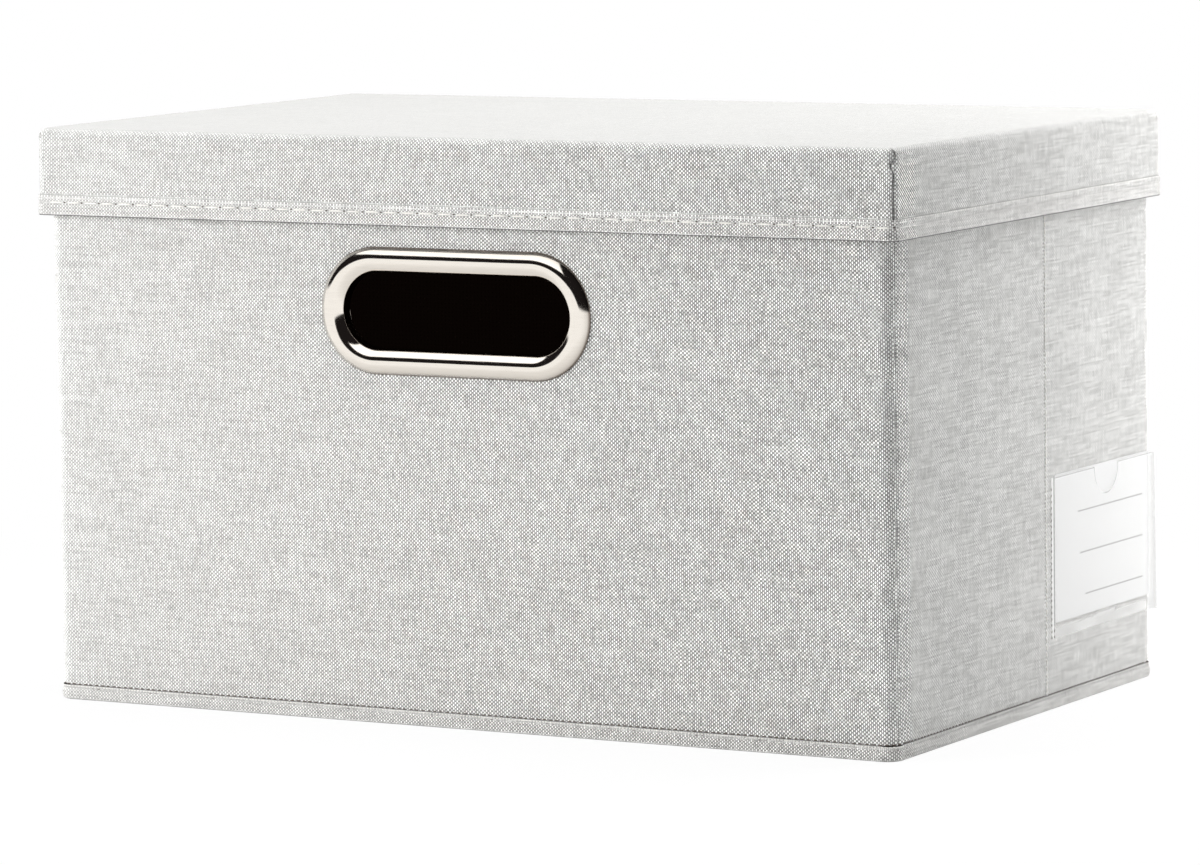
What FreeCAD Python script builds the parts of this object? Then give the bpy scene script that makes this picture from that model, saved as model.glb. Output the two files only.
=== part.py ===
"""A collapsible storage box of linen-covered boards, with a lift-off lid, oval eyelet handles and a label pocket.

Row frame: the origin is the middle of the footprint, +X runs along the front, -Y is the front and +Z is up.
Each end wall folds inwards along its upright middle while the front wall moves back and the floor boards rise.
"""

import FreeCAD, Part
import math
import os

import Sketcher
from FreeCAD import Vector

doc = FreeCAD.newDocument("storage_box")

# Driving dimensions in millimetres: alias, value, meaning
SIZES = (
    ("body_width", 400, "outside of the walls, left to right"),
    ("body_depth", 250, "outside of the walls, front to back"),
    ("rim_height", 241.1, "top of the rim tape above the ground"),
    ("board", 3.0, "thickness of the wall boards"),
    ("linen", 0.5, "thickness of the outer linen"),
    ("lining", 0.5, "thickness of the inner lining"),
    ("corner_radius", 6.5, "outer rounding of the upright corners"),
    ("foot_tape", 0.8, "how far the foot binding stands proud of the linen"),
    ("foot_height", 6.5, "height of the foot binding"),
    ("foot_sole", 0.6, "thickness of the foot binding under the wall"),
    ("foot_bevel", 0.5, "bevel of the foot binding's lower edge"),
    ("rim_tape", 0.5, "thickness of the rim tape"),
    ("rim_tape_height", 9.0, "height of the rim tape's two legs"),
    ("floor_cloth", 0.4, "thickness of the floor cloth"),
    ("floor_cloth_rise", 0.2, "underside of the floor cloth above the ground"),
    ("floor_board", 2.6, "thickness of the floor boards"),
    ("floor_cover", 0.4, "thickness of the floor boards' cloth cover"),
    ("floor_board_gap", 0.3, "gap between floor cloth and floor boards"),
    ("floor_hinge_gap", 0.3, "gap between a floor board and its wall"),
    ("floor_ridge_gap", 1.2, "gap between the two floor boards"),
    ("floor_mitre_gap", 2.5, "gap between a floor board's end and the end wall"),
    ("fold_clearance", 1.0, "room left beside a floor board that stands folded against its wall"),
    ("crease_gap", 0.2, "gap between the two halves of an end wall"),
    ("board_margin", 1.0, "distance from the fold lines of an end wall to its boards"),
    ("handle_length", 128, "length of the oval eyelet"),
    ("handle_height", 53.2, "height of the oval eyelet"),
    ("handle_rim", 10.8, "width of the eyelet's rounded rim"),
    ("handle_centre", 172.6, "middle of the eyelet above the ground"),
    ("handle_side", 1.6, "height of the rim's upright sides"),
    ("crown_radius", 8.6, "radius of the rim's round front"),
    ("collar", 1.2, "thickness of the eyelet's collar through the wall"),
    ("collar_gap", 0.3, "gap between the collar and the hole in the wall"),
    ("washer", 1.2, "thickness of the washer inside the wall"),
    ("washer_inset", 2.0, "how far the washer's outline is inside that of the rim"),
    ("washer_gap", 0.05, "gap between the collar and the washer"),
    ("washer_bevel", 0.5, "bevel of the washer's inner face"),
    ("seam_place", 17, "sewn seam of an end wall, behind its middle"),
    ("seam_width", 2.6, "width of the sewn seam at its root"),
    ("seam_crest", 1.4, "width of the sewn seam's flat crest"),
    ("seam_rise", 0.4, "how far the sewn seam stands proud"),
    ("pocket_front", 22.3, "front edge of the label pocket, behind the middle of the end wall"),
    ("pocket_width", 102.2, "width of the label pocket"),
    ("pocket_bottom", 29.6, "lower edge of the label pocket above the ground"),
    ("pocket_height", 67.9, "height of the label pocket"),
    ("film", 0.4, "thickness of the pocket's clear film"),
    ("card_room", 0.8, "depth of the space for the card"),
    ("card", 0.4, "thickness of the label card"),
    ("card_front_margin", 2.5, "pocket's front edge to the card"),
    ("card_bottom_margin", 6.5, "pocket's lower edge to the card"),
    ("card_width", 95.6, "width of the label card"),
    ("card_height", 62.4, "height of the label card"),
    ("card_gap", 0.3, "gap round the card in its pocket"),
    ("card_corner", 1.0, "rounding of the card's corners"),
    ("notch_radius", 12, "radius of the pocket's thumb notch"),
    ("notch_place", 53.5, "middle of the thumb notch behind the pocket's front edge"),
    ("lid_side_gap", 0.7, "gap between the rim tape and the lid's lining beside it"),
    ("lid_rest_gap", 0.3, "gap between the rim tape and the lid's lining above it"),
    ("lid_lining", 0.3, "thickness of the lid's lining"),
    ("lining_corner", 1.8, "outer rounding of the lid lining's upright corners"),
    ("skirt_board", 1.5, "thickness of the lid's skirt boards"),
    ("top_board", 3.0, "thickness of the lid's top board"),
    ("lid_linen", 0.5, "thickness of the lid's linen"),
    ("lid_corner", 4.0, "outer rounding of the lid's upright corners"),
    ("lid_edge", 3.4, "outer rounding of the lid's top edge"),
    ("skirt_bottom", 208.2, "lower edge of the lid's hem above the ground"),
    ("hem_height", 8.6, "height of the lid's hem band"),
    ("hem_proud", 0.9, "how far the hem band stands proud of the linen"),
    ("hem_sole", 0.5, "thickness of the hem under the skirt boards"),
    ("hem_bevel", 0.4, "bevel of the hem band's edges"),
)

# The two ends, the two halves of an end and the two long walls, each with its side of the middle
ENDS = {"right": 1, "left": -1}
HALVES = {"rear": 1, "front": -1}
WALLS = {"back": 1, "front": -1}

HALF_SHARE = 0.5
DIAGONAL_SHARE = math.sqrt(2)
NEAR = 1e-4


class Length:
    """A length that carries its value in millimetres and the same sum written in the sheet's aliases."""

    def __init__(self, text, value):
        self.text = text
        self.value = value

    def __add__(self, other):
        return Length(f"({self.text} + {other.text})", self.value + other.value)

    def __sub__(self, other):
        return Length(f"({self.text} - {other.text})", self.value - other.value)

    def __mul__(self, share):
        return Length(f"({self.text} * {share})", self.value * share)

    def __neg__(self):
        return self * -1

    def leg(self, other):
        """The other leg of a right triangle with this length as its long side."""
        text = f"sqrt({self.text} * {self.text} - {other.text} * {other.text})"
        return Length(text, math.sqrt(self.value**2 - other.value**2))


def fill_sheet():
    """Writes the driving dimensions into a sheet and returns them by their alias."""
    sheet = doc.addObject("Spreadsheet::Sheet", "Sizes")
    lengths = {}
    for row, (alias, value, meaning) in enumerate(SIZES, start=1):
        sheet.set(f"A{row}", meaning)
        sheet.set(f"B{row}", str(value))
        sheet.setAlias(f"B{row}", alias)
        lengths[alias] = Length(f"Sizes.{alias}", float(value))
    return lengths


size = fill_sheet()
NONE = Length("0", 0.0)

# Places in the walls that follow from the driving dimensions
half_width = size["body_width"] * HALF_SHARE
half_depth = size["body_depth"] * HALF_SHARE
wall = size["linen"] + size["board"] + size["lining"]
inner_half_width = half_width - wall
inner_half_depth = half_depth - wall
wall_bottom = size["foot_sole"]
wall_top = size["rim_height"] - size["rim_tape"]
bend_x = half_width - size["corner_radius"]
bend_y = half_depth - size["corner_radius"]

# The end walls turn about upright lines far enough inside the long walls for the floor boards to stand there
floor_stack = size["floor_board"] + size["floor_cover"]
corner_pivot = inner_half_depth - floor_stack - size["fold_clearance"]
crease_side = size["crease_gap"] * HALF_SHARE
end_half = corner_pivot - crease_side


def plain(point):
    return (point[0].value, point[1].value)


def flat(point):
    return Vector(point[0].value, point[1].value, 0)


def bearing(centre, point):
    return math.atan2(point[1].value - centre[1].value, point[0].value - centre[0].value)


def turns_back(centre, start, stop):
    """Whether the short way from start to stop about the centre is clockwise."""
    first = flat(start) - flat(centre)
    last = flat(stop) - flat(centre)
    return first.cross(last).z < -NEAR


class Outline:
    """A sketch on one of a body's own planes, with every point tied to the sizes on the sheet."""

    def __init__(self, body, role):
        self.sketch = body.newObject("Sketcher::SketchObject", f"{body.Name}_outline")
        planes = [feature for feature in body.Origin.OriginFeatures if feature.Role == role]
        self.sketch.AttachmentSupport = (planes[0], [""])
        self.sketch.MapMode = "FlatFace"
        self.sketch.Visibility = False

    def tie(self, kind, element, end, length):
        """Ties one coordinate of a point to a length on the sheet."""
        index = self.sketch.addConstraint(Sketcher.Constraint(kind, -1, 1, element, end, length.value))
        if length.text != NONE.text:
            self.sketch.setExpression(f"Constraints[{index}]", length.text)

    def arc(self, centre, start, stop):
        """An arc the short way round, or anticlockwise where both ways are equal."""
        radius = math.dist(plain(centre), plain(start))
        circle = Part.Circle(flat(centre), Vector(0, 0, 1), radius)
        backwards = turns_back(centre, start, stop)
        low, high = (stop, start) if backwards else (start, stop)
        geometry = Part.ArcOfCircle(circle, bearing(centre, low), bearing(centre, high))
        element = self.sketch.addGeometry(geometry)
        return (element, 2, 1) if backwards else (element, 1, 2)

    def loop(self, points, centres=None):
        """A closed loop through the points; centres holds the middle of each edge that is an arc."""
        centres = centres or {}
        edges = []
        for number, start in enumerate(points):
            stop = points[(number + 1) % len(points)]
            if number in centres:
                edge = self.arc(centres[number], start, stop)
            else:
                edge = (self.sketch.addGeometry(Part.LineSegment(flat(start), flat(stop))), 1, 2)
            edges.append(edge)
        for (element, _, last), (following, first, _) in zip(edges, edges[1:] + edges[:1]):
            self.sketch.addConstraint(Sketcher.Constraint("Coincident", element, last, following, first))
        for (element, first, _), point in zip(edges, points):
            self.tie("DistanceX", element, first, point[0])
            self.tie("DistanceY", element, first, point[1])
        for number, centre in centres.items():
            chord = flat(points[(number + 1) % len(points)]) - flat(points[number])
            upright = abs(chord.x) <= abs(chord.y)
            kind, length = ("DistanceX", centre[0]) if upright else ("DistanceY", centre[1])
            self.tie(kind, edges[number][0], 3, length)
        return self

    def rectangle(self, low, high):
        return self.loop([low, (high[0], low[1]), high, (low[0], high[1])])

    def rounded(self, half_long, half_high, radius):
        """A rectangle about the origin with round corners."""
        x = half_long - radius
        y = half_high - radius
        points = [(-x, -half_high), (x, -half_high), (half_long, -y), (half_long, y)]
        points += [(x, half_high), (-x, half_high), (-half_long, y), (-half_long, -y)]
        centres = {1: (x, -y), 3: (x, y), 5: (-x, y), 7: (-x, -y)}
        return self.loop(points, centres)

    def oval(self, half_long, half_high, middle):
        """Two level runs joined by half rounds."""
        x = half_long - half_high
        low = middle - half_high
        high = middle + half_high
        points = [(-x, low), (x, low), (x, high), (-x, high)]
        return self.loop(points, {1: (x, middle), 3: (-x, middle)})


def new_body(name):
    body = doc.addObject("PartDesign::Body", name)
    body.Label = name
    return body


def place(body, along_x=NONE, along_y=NONE, along_z=NONE):
    """Moves a body from the origin to its place in the box."""
    for axis, length in (("x", along_x), ("y", along_y), ("z", along_z)):
        if length.text != NONE.text:
            body.setExpression(f"Placement.Base.{axis}", length.text)


def pad(body, outline, thickness, backwards=False):
    """Thickens an outline along the normal of its plane."""
    feature = body.newObject("PartDesign::Pad", f"{body.Name}_pad")
    feature.Profile = outline.sketch
    feature.setExpression("Length", thickness.text)
    feature.Reversed = backwards
    return feature


def hollow(body, outline, depth):
    """Cuts an outline to a depth along the normal of its plane."""
    feature = body.newObject("PartDesign::Pocket", f"{body.Name}_hollow")
    feature.Profile = outline.sketch
    feature.setExpression("Length", depth.text)
    feature.Reversed = True
    return feature


def cut_through(body, outline):
    """Cuts an outline right through the body, both ways."""
    feature = body.newObject("PartDesign::Pocket", f"{body.Name}_cut")
    feature.Profile = outline.sketch
    feature.Type = "ThroughAll"
    feature.SideType = "Symmetric"
    return feature


def edges_of(feature, wanted):
    """Names of the feature's edges for which the test of edge and middle point holds."""
    doc.recompute()
    names = []
    for number, edge in enumerate(feature.Shape.Edges, start=1):
        middle = edge.valueAt((edge.FirstParameter + edge.LastParameter) * HALF_SHARE)
        if wanted(edge, middle):
            names.append(f"Edge{number}")
    return names


def round_edges(body, feature, radius, wanted):
    fillet = body.newObject("PartDesign::Fillet", f"{body.Name}_rounding")
    fillet.Base = (feature, edges_of(feature, wanted))
    fillet.setExpression("Radius", radius.text)
    return fillet


def bevel_edges(body, feature, width, wanted):
    chamfer = body.newObject("PartDesign::Chamfer", f"{body.Name}_bevel")
    chamfer.Base = (feature, edges_of(feature, wanted))
    chamfer.setExpression("Size", width.text)
    return chamfer


def level(height):
    """Test for edges that lie at a height in the body's own frame."""
    return lambda edge, middle: abs(middle.z - height.value) < NEAR


def rearmost(sign, near, far):
    """Rear face of a plate that lies between a near and a far distance from the middle."""
    return far if sign > 0 else -near


# Oval eyelet, and the hole that it needs in a wall
oval_half_long = size["handle_length"] * HALF_SHARE
oval_half_high = size["handle_height"] * HALF_SHARE
finger_half_long = oval_half_long - size["handle_rim"]
finger_half_high = oval_half_high - size["handle_rim"]
hole_margin = size["collar"] + size["collar_gap"]
hole_half_long = finger_half_long + hole_margin
hole_half_high = finger_half_high + hole_margin


def make_wall_layer(name, sign, near, far, half_long):
    """A flat layer of a long wall with the eyelet's hole."""
    body = new_body(name)
    outline = Outline(body, "XZ_Plane")
    outline.rectangle((-half_long, wall_bottom), (half_long, wall_top))
    outline.oval(hole_half_long, hole_half_high, size["handle_centre"])
    pad(body, outline, far - near)
    place(body, along_y=rearmost(sign, near, far))


def wrap_points(sign, proud, thickness):
    """Plan of a cloth that runs along a long wall and turns round both corners to the end walls' fold line."""
    outer_x = half_width + proud
    outer_y = half_depth + proud
    inner_x = outer_x - thickness
    inner_y = outer_y - thickness
    outside = [(outer_x, corner_pivot), (outer_x, bend_y), (bend_x, outer_y)]
    inside = [(inner_x, corner_pivot), (inner_x, bend_y), (bend_x, inner_y)]
    points = outside + [(-x, y) for x, y in reversed(outside)]
    points += [(-x, y) for x, y in inside] + list(reversed(inside))
    centres = {1: (bend_x, bend_y), 3: (-bend_x, bend_y), 7: (-bend_x, bend_y), 9: (bend_x, bend_y)}
    if sign < 0:
        points = [(-x, -y) for x, y in points]
        centres = {number: (-x, -y) for number, (x, y) in centres.items()}
    return points, centres


def make_wall_linen(name, sign):
    """Outer linen of a long wall, with the eyelet's hole."""
    body = new_body(name)
    pad(body, Outline(body, "XY_Plane").loop(*wrap_points(sign, NONE, size["linen"])), wall_top - wall_bottom)
    hole = Outline(body, "XZ_Plane")
    hole.oval(hole_half_long, hole_half_high, size["handle_centre"] - wall_bottom)
    cut_through(body, hole)
    place(body, along_z=wall_bottom)


def make_foot_binding(name, sign):
    """Binding round the foot of a long wall, with a sole under the wall and a bevelled lower edge."""
    body = new_body(name)
    band = Outline(body, "XY_Plane").loop(*wrap_points(sign, size["foot_tape"], size["foot_tape"]))
    pad(body, band, size["foot_height"])
    sole = Outline(body, "XY_Plane")
    sole.rectangle((-bend_x, inner_half_depth * sign), (bend_x, half_depth * sign))
    bound = pad(body, sole, size["foot_sole"])

    def outer_lower(edge, middle):
        """Edges of the band's outside on the ground, without the short ones across its two ends."""
        if abs(middle.z) > NEAR or edge.Length < size["foot_tape"].value + NEAR:
            return False
        straight_out = abs(middle.x) > half_width.value + NEAR or abs(middle.y) > half_depth.value + NEAR
        radius = getattr(edge.Curve, "Radius", 0)
        return straight_out or radius > size["corner_radius"].value + NEAR

    bevel_edges(body, bound, size["foot_bevel"], outer_lower)


def tape_points(outer, inner, low, high):
    """Section of the rim tape: two legs and a bridge over the wall's upper edge."""
    tape = size["rim_tape"]
    return [
        (outer, low),
        (outer, high),
        (inner, high),
        (inner, low),
        (inner + tape, low),
        (inner + tape, high - tape),
        (outer - tape, high - tape),
        (outer - tape, low),
    ]


def make_rim_tape(name, sign):
    """Tape over the upper edge of a long wall."""
    body = new_body(name)
    low = size["rim_height"] - size["rim_tape_height"]
    outer = half_depth + size["rim_tape"]
    inner = inner_half_depth - size["rim_tape"]
    points = tape_points(outer, inner, low, size["rim_height"])
    section = Outline(body, "YZ_Plane").loop([(y * sign, z) for y, z in points])
    pad(body, section, bend_x * 2)
    place(body, along_x=-bend_x)


def make_eyelet(name, sign):
    """Polished oval ring with a round front and a collar through the wall, swept round the finger hole."""
    body = new_body(name)
    middle = size["handle_centre"]
    top = middle + finger_half_high
    low = middle - finger_half_high
    turn = finger_half_long - finger_half_high
    path = Outline(body, "XZ_Plane")
    path_points = [(NONE, top), (-turn, top), (-turn, low), (turn, low), (turn, top)]
    path.loop(path_points, {1: (-turn, middle), 3: (turn, middle)})
    collar_end = (wall + size["washer"]) * -sign
    collar_top = top + size["collar"]
    rim_top = top + size["handle_rim"]
    section = Outline(body, "YZ_Plane")
    side = size["handle_side"] * sign
    points = [(side, top), (collar_end, top), (collar_end, collar_top), (NONE, collar_top)]
    points += [(NONE, rim_top), (side, rim_top)]
    half_rim = size["handle_rim"] * HALF_SHARE
    set_back = size["crown_radius"].leg(half_rim)
    section.loop(points, {5: (side - set_back * sign, top + half_rim)})
    ring = body.newObject("PartDesign::AdditivePipe", f"{name}_sweep")
    ring.Profile = section.sketch
    ring.Spine = (path.sketch, [])
    place(body, along_y=half_depth * sign)


def make_washer(name, sign):
    """Oval washer inside the wall, which the eyelet's collar is clinched to, with a bevelled inner face."""
    body = new_body(name)
    outline = Outline(body, "XZ_Plane")
    inset = size["washer_inset"]
    middle = size["handle_centre"]
    outline.oval(oval_half_long - inset, oval_half_high - inset, middle)
    margin = size["collar"] + size["washer_gap"]
    outline.oval(finger_half_long + margin, finger_half_high + margin, middle)
    near = inner_half_depth - size["washer"]
    plate = pad(body, outline, size["washer"])
    face = -size["washer"].value if sign > 0 else 0

    def inner_outline(edge, point):
        """The outer edge of the washer's face towards the inside of the box."""
        beside = math.hypot(point.x, point.z - middle.value)
        ends = abs(beside - oval_half_long.value + inset.value) < NEAR
        runs = abs(abs(point.z - middle.value) - oval_half_high.value + inset.value) < NEAR
        return abs(point.y - face) < NEAR and (ends or runs)

    bevel_edges(body, plate, size["washer_bevel"], inner_outline)
    place(body, along_y=rearmost(sign, near, inner_half_depth))


def make_long_wall(name, sign):
    """Everything that is sewn or clinched to the front or the back wall."""
    outer = half_depth - size["linen"]
    inner = inner_half_depth + size["lining"]
    make_wall_layer(f"{name}_board", sign, inner, outer, bend_x)
    make_wall_linen(f"{name}_linen", sign)
    make_wall_layer(f"{name}_lining", sign, inner_half_depth, inner, inner_half_width)
    make_eyelet(f"{name}_eyelet", sign)
    make_washer(f"{name}_washer", sign)
    make_foot_binding(f"{name}_foot_binding", sign)
    make_rim_tape(f"{name}_rim_tape", sign)


def make_end_layer(name, side, half, near, far, margin):
    """A flat layer of one half of an end wall, from near to far outwards."""
    body = new_body(name)
    outline = Outline(body, "YZ_Plane")
    start = (crease_side + margin) * half
    stop = (corner_pivot - margin) * half
    outline.rectangle((start, wall_bottom), (stop, wall_top))
    pad(body, outline, far - near, backwards=side < 0)
    place(body, along_x=near * side)


def make_end_trim(name, side, half, points):
    """A binding of constant section along one half of an end wall."""
    body = new_body(name)
    section = Outline(body, "XZ_Plane").loop([(x * side, z) for x, z in points])
    pad(body, section, end_half)
    place(body, along_y=rearmost(half, crease_side, corner_pivot))


def make_end_foot(name, side, half):
    """Foot binding of an end half: a band outside, a sole under the wall and a bevelled lower edge."""
    bevel = size["foot_bevel"]
    outer = half_width + size["foot_tape"]
    points = [
        (inner_half_width, NONE),
        (outer - bevel, NONE),
        (outer, bevel),
        (outer, size["foot_height"]),
        (half_width, size["foot_height"]),
        (half_width, size["foot_sole"]),
        (inner_half_width, size["foot_sole"]),
    ]
    make_end_trim(name, side, half, points)


def make_end_rim(name, side, half):
    low = size["rim_height"] - size["rim_tape_height"]
    outer = half_width + size["rim_tape"]
    inner = inner_half_width - size["rim_tape"]
    make_end_trim(name, side, half, tape_points(outer, inner, low, size["rim_height"]))


def make_end_half(name, side, half):
    """One half of an end wall, which folds inwards about the corner."""
    outer = half_width - size["linen"]
    inner = inner_half_width + size["lining"]
    make_end_layer(f"{name}_board", side, half, inner, outer, size["board_margin"])
    make_end_layer(f"{name}_linen", side, half, outer, half_width, NONE)
    make_end_layer(f"{name}_lining", side, half, inner_half_width, inner, NONE)
    make_end_foot(f"{name}_foot_binding", side, half)
    make_end_rim(f"{name}_rim_tape", side, half)


def make_end_seam(name, side):
    """Raised seam where the two widths of linen are sewn together, a little behind the middle of the end."""
    body = new_body(name)
    root = size["seam_width"] * HALF_SHARE
    crest = size["seam_crest"] * HALF_SHARE
    middle = size["seam_place"]
    outer = size["seam_rise"]
    points = [(NONE, middle - root), (outer, middle - crest), (outer, middle + crest), (NONE, middle + root)]
    section = Outline(body, "XY_Plane").loop([(x * side, y) for x, y in points])
    pad(body, section, size["rim_height"] - size["rim_tape_height"] - size["foot_height"])
    place(body, along_x=half_width * side, along_z=size["foot_height"])


# Label card and the space for it, in the plane of the right end wall
card_front = size["pocket_front"] + size["card_front_margin"]
card_bottom = size["pocket_bottom"] + size["card_bottom_margin"]
card_low = (card_front - size["card_gap"], card_bottom - size["card_gap"])
card_back = card_front + size["card_width"] + size["card_gap"]
pocket_top = size["pocket_bottom"] + size["pocket_height"]
notch_middle = size["pocket_front"] + size["notch_place"]


def notched(outline, front, low, back):
    """A film outline with the round thumb notch in its upper edge."""
    points = [
        (front, low),
        (back, low),
        (back, pocket_top),
        (notch_middle + size["notch_radius"], pocket_top),
        (notch_middle, pocket_top - size["notch_radius"]),
        (notch_middle - size["notch_radius"], pocket_top),
        (front, pocket_top),
    ]
    centre = (notch_middle, pocket_top)
    return outline.loop(points, {3: centre, 4: centre})


def make_label_pocket(name):
    """Clear film welded to the linen on three sides, raised over the card and open at its top."""
    body = new_body(name)
    back = size["pocket_front"] + size["pocket_width"]
    margin = notched(Outline(body, "YZ_Plane"), size["pocket_front"], size["pocket_bottom"], back)
    pad(body, margin, size["film"])
    raised = Outline(body, "YZ_Plane")
    notched(raised, card_low[0] - size["film"], card_low[1] - size["film"], card_back + size["film"])
    pad(body, raised, size["card_room"] + size["film"])
    room = Outline(body, "YZ_Plane").rectangle(card_low, (card_back, pocket_top))
    hollow(body, room, size["card_room"])
    place(body, along_x=half_width)


def make_label_card(name):
    body = new_body(name)
    half_long = size["card_width"] * HALF_SHARE
    half_high = size["card_height"] * HALF_SHARE
    pad(body, Outline(body, "YZ_Plane").rounded(half_long, half_high, size["card_corner"]), size["card"])
    free = (size["card_room"] - size["card"]) * HALF_SHARE
    place(body, half_width + free, card_front + half_long, card_bottom + half_high)


# Floor, in the order in which it lies on the ground
floor_board_bottom = size["floor_cloth_rise"] + size["floor_cloth"] + size["floor_board_gap"]


def make_floor_cloth(name):
    """Cloth sewn to the foot of all four walls."""
    body = new_body(name)
    outline = Outline(body, "XY_Plane")
    outline.rectangle((-inner_half_width, -inner_half_depth), (inner_half_width, inner_half_depth))
    pad(body, outline, size["floor_cloth"])
    place(body, along_z=size["floor_cloth_rise"])


def mitred_points(half, inset):
    """Plan of a floor board, whose ends are cut at 45 degrees to clear the end walls as they fold in."""
    hinge = inner_half_depth - size["floor_hinge_gap"]
    ridge = size["floor_ridge_gap"] * HALF_SHARE
    long_half = inner_half_width - size["floor_mitre_gap"] - inset * DIAGONAL_SHARE - inset
    short_half = long_half - (hinge - ridge) + inset * 2
    far = hinge - inset
    near = ridge + inset
    points = [(long_half, far), (-long_half, far), (-short_half, near), (short_half, near)]
    return [(x * half, y * half) for x, y in points]


def make_floor_half(name, half):
    """A stiff floor board and the cloth cover that is folded down over its edges."""
    cover = new_body(f"{name}_cover")
    pad(cover, Outline(cover, "XY_Plane").loop(mitred_points(half, NONE)), floor_stack)
    inner = mitred_points(half, size["floor_cover"])
    hollow(cover, Outline(cover, "XY_Plane").loop(inner), size["floor_board"])
    place(cover, along_z=floor_board_bottom)
    board = new_body(f"{name}_board")
    pad(board, Outline(board, "XY_Plane").loop(inner), size["floor_board"])
    place(board, along_z=floor_board_bottom)


# Lid, from its lining outwards
lid_inner = size["rim_tape"] + size["lid_side_gap"]
lining_out = lid_inner + size["lid_lining"]
skirt_out = lining_out + size["skirt_board"]
linen_out = skirt_out + size["lid_linen"]
hem_out = linen_out + size["hem_proud"]
lid_lining_low = size["rim_height"] + size["lid_rest_gap"]
lid_board_low = lid_lining_low + size["lid_lining"]
lid_board_high = lid_board_low + size["top_board"]
lid_top = lid_board_high + size["lid_linen"]
skirt_low = size["skirt_bottom"] + size["hem_sole"]


def lid_outline(body, out, radius):
    """A rectangle with round corners, a given distance outside the walls."""
    return Outline(body, "XY_Plane").rounded(half_width + out, half_depth + out, radius)


def make_lid_linen(name):
    """Linen drawn over the top and down the skirt, with soft edges and corners."""
    body = new_body(name)
    pad(body, lid_outline(body, linen_out, size["lid_corner"]), lid_top - skirt_low)
    inner = lid_outline(body, skirt_out, size["lid_corner"] - size["lid_linen"])
    shell = hollow(body, inner, lid_board_high - skirt_low)
    bevel = size["lid_edge"] - size["lid_linen"]
    bevelled = bevel_edges(body, shell, bevel, level(lid_board_high - skirt_low))
    round_edges(body, bevelled, size["lid_edge"], level(lid_top - skirt_low))
    place(body, along_z=skirt_low)


def make_lid_top_board(name):
    body = new_body(name)
    corner = size["lid_corner"] - size["lid_linen"]
    block = pad(body, lid_outline(body, skirt_out, corner), size["top_board"])
    bevel_edges(body, block, size["lid_edge"] - size["lid_linen"], level(size["top_board"]))
    place(body, along_z=lid_board_low)


def make_skirt_boards():
    """Four boards that stiffen the lid's skirt, each ending where the linen starts to turn its corner."""
    height = lid_board_low - skirt_low
    turn = size["lid_corner"] - size["lid_linen"]
    for name, sign in WALLS.items():
        body = new_body(f"lid_{name}_board")
        long_half = half_width + skirt_out - turn
        near = (half_depth + lining_out) * sign
        far = (half_depth + skirt_out) * sign
        pad(body, Outline(body, "XY_Plane").rectangle((-long_half, near), (long_half, far)), height)
        place(body, along_z=skirt_low)
    for name, sign in ENDS.items():
        body = new_body(f"lid_{name}_board")
        long_half = half_depth + skirt_out - turn
        near = (half_width + lining_out) * sign
        far = (half_width + skirt_out) * sign
        pad(body, Outline(body, "XY_Plane").rectangle((near, -long_half), (far, long_half)), height)
        place(body, along_z=skirt_low)


def make_lid_lining(name):
    """Thin lining inside the skirt and under the top."""
    body = new_body(name)
    corner = size["lining_corner"]
    pad(body, lid_outline(body, lining_out, corner), lid_board_low - skirt_low)
    inner = lid_outline(body, lid_inner, corner - size["lid_lining"])
    hollow(body, inner, lid_lining_low - skirt_low)
    place(body, along_z=skirt_low)


def make_lid_hem(name):
    """Hem band round the foot of the skirt, folded under the skirt boards."""
    body = new_body(name)
    corner = size["lid_corner"]
    outer_corner = corner + size["hem_proud"]
    band = lid_outline(body, hem_out, outer_corner)
    band.rounded(half_width + linen_out, half_depth + linen_out, corner)
    pad(body, band, size["hem_height"])
    sole = lid_outline(body, linen_out, corner)
    sole.rounded(half_width + lid_inner, half_depth + lid_inner, size["lining_corner"] - size["lid_lining"])
    hemmed = pad(body, sole, size["hem_sole"])

    def outside(edge, middle):
        """Upper and lower edges of the band's outside."""
        at_edge = abs(middle.z) < NEAR or abs(middle.z - size["hem_height"].value) < NEAR
        straight = half_width.value + hem_out.value - abs(middle.x) < NEAR
        straight = straight or half_depth.value + hem_out.value - abs(middle.y) < NEAR
        return at_edge and (straight or abs(getattr(edge.Curve, "Radius", 0) - outer_corner.value) < NEAR)

    bevel_edges(body, hemmed, size["hem_bevel"], outside)
    place(body, along_z=size["skirt_bottom"])


def make_box():
    """Builds every sub-part of the box."""
    for name, sign in WALLS.items():
        make_long_wall(name, sign)
    for end, side in ENDS.items():
        for name, half in HALVES.items():
            make_end_half(f"{end}_{name}", side, half)
        make_end_seam(f"{end}_end_seam", side)
    make_label_pocket("label_pocket")
    make_label_card("label_card")
    make_floor_cloth("floor_cloth")
    for name, half in HALVES.items():
        make_floor_half(f"{name}_floor", half)
    make_lid_top_board("lid_top_board")
    make_skirt_boards()
    make_lid_linen("lid_linen")
    make_lid_lining("lid_lining")
    make_lid_hem("lid_hem")


def check_objects():
    """Stops if any object failed or any sub-part has no valid shape."""
    for item in doc.Objects:
        if "Invalid" in item.State or "Error" in item.State:
            raise RuntimeError(f"{item.Name} is {item.State}")
    for body in sub_parts():
        if body.Shape.isNull() or not body.Shape.isValid() or len(body.Shape.Solids) != 1:
            raise RuntimeError(f"{body.Label} has no single valid solid")


def sub_parts():
    return [item for item in doc.Objects if item.TypeId == "PartDesign::Body"]


def write_parts():
    os.makedirs("parts", exist_ok=True)
    for body in sub_parts():
        body.Shape.exportStep(f"parts/{body.Label}.step")
        print(f"{body.Label}: {body.Shape.Volume:.0f} mm3")


make_box()
doc.recompute()
check_objects()
write_parts()
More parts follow.
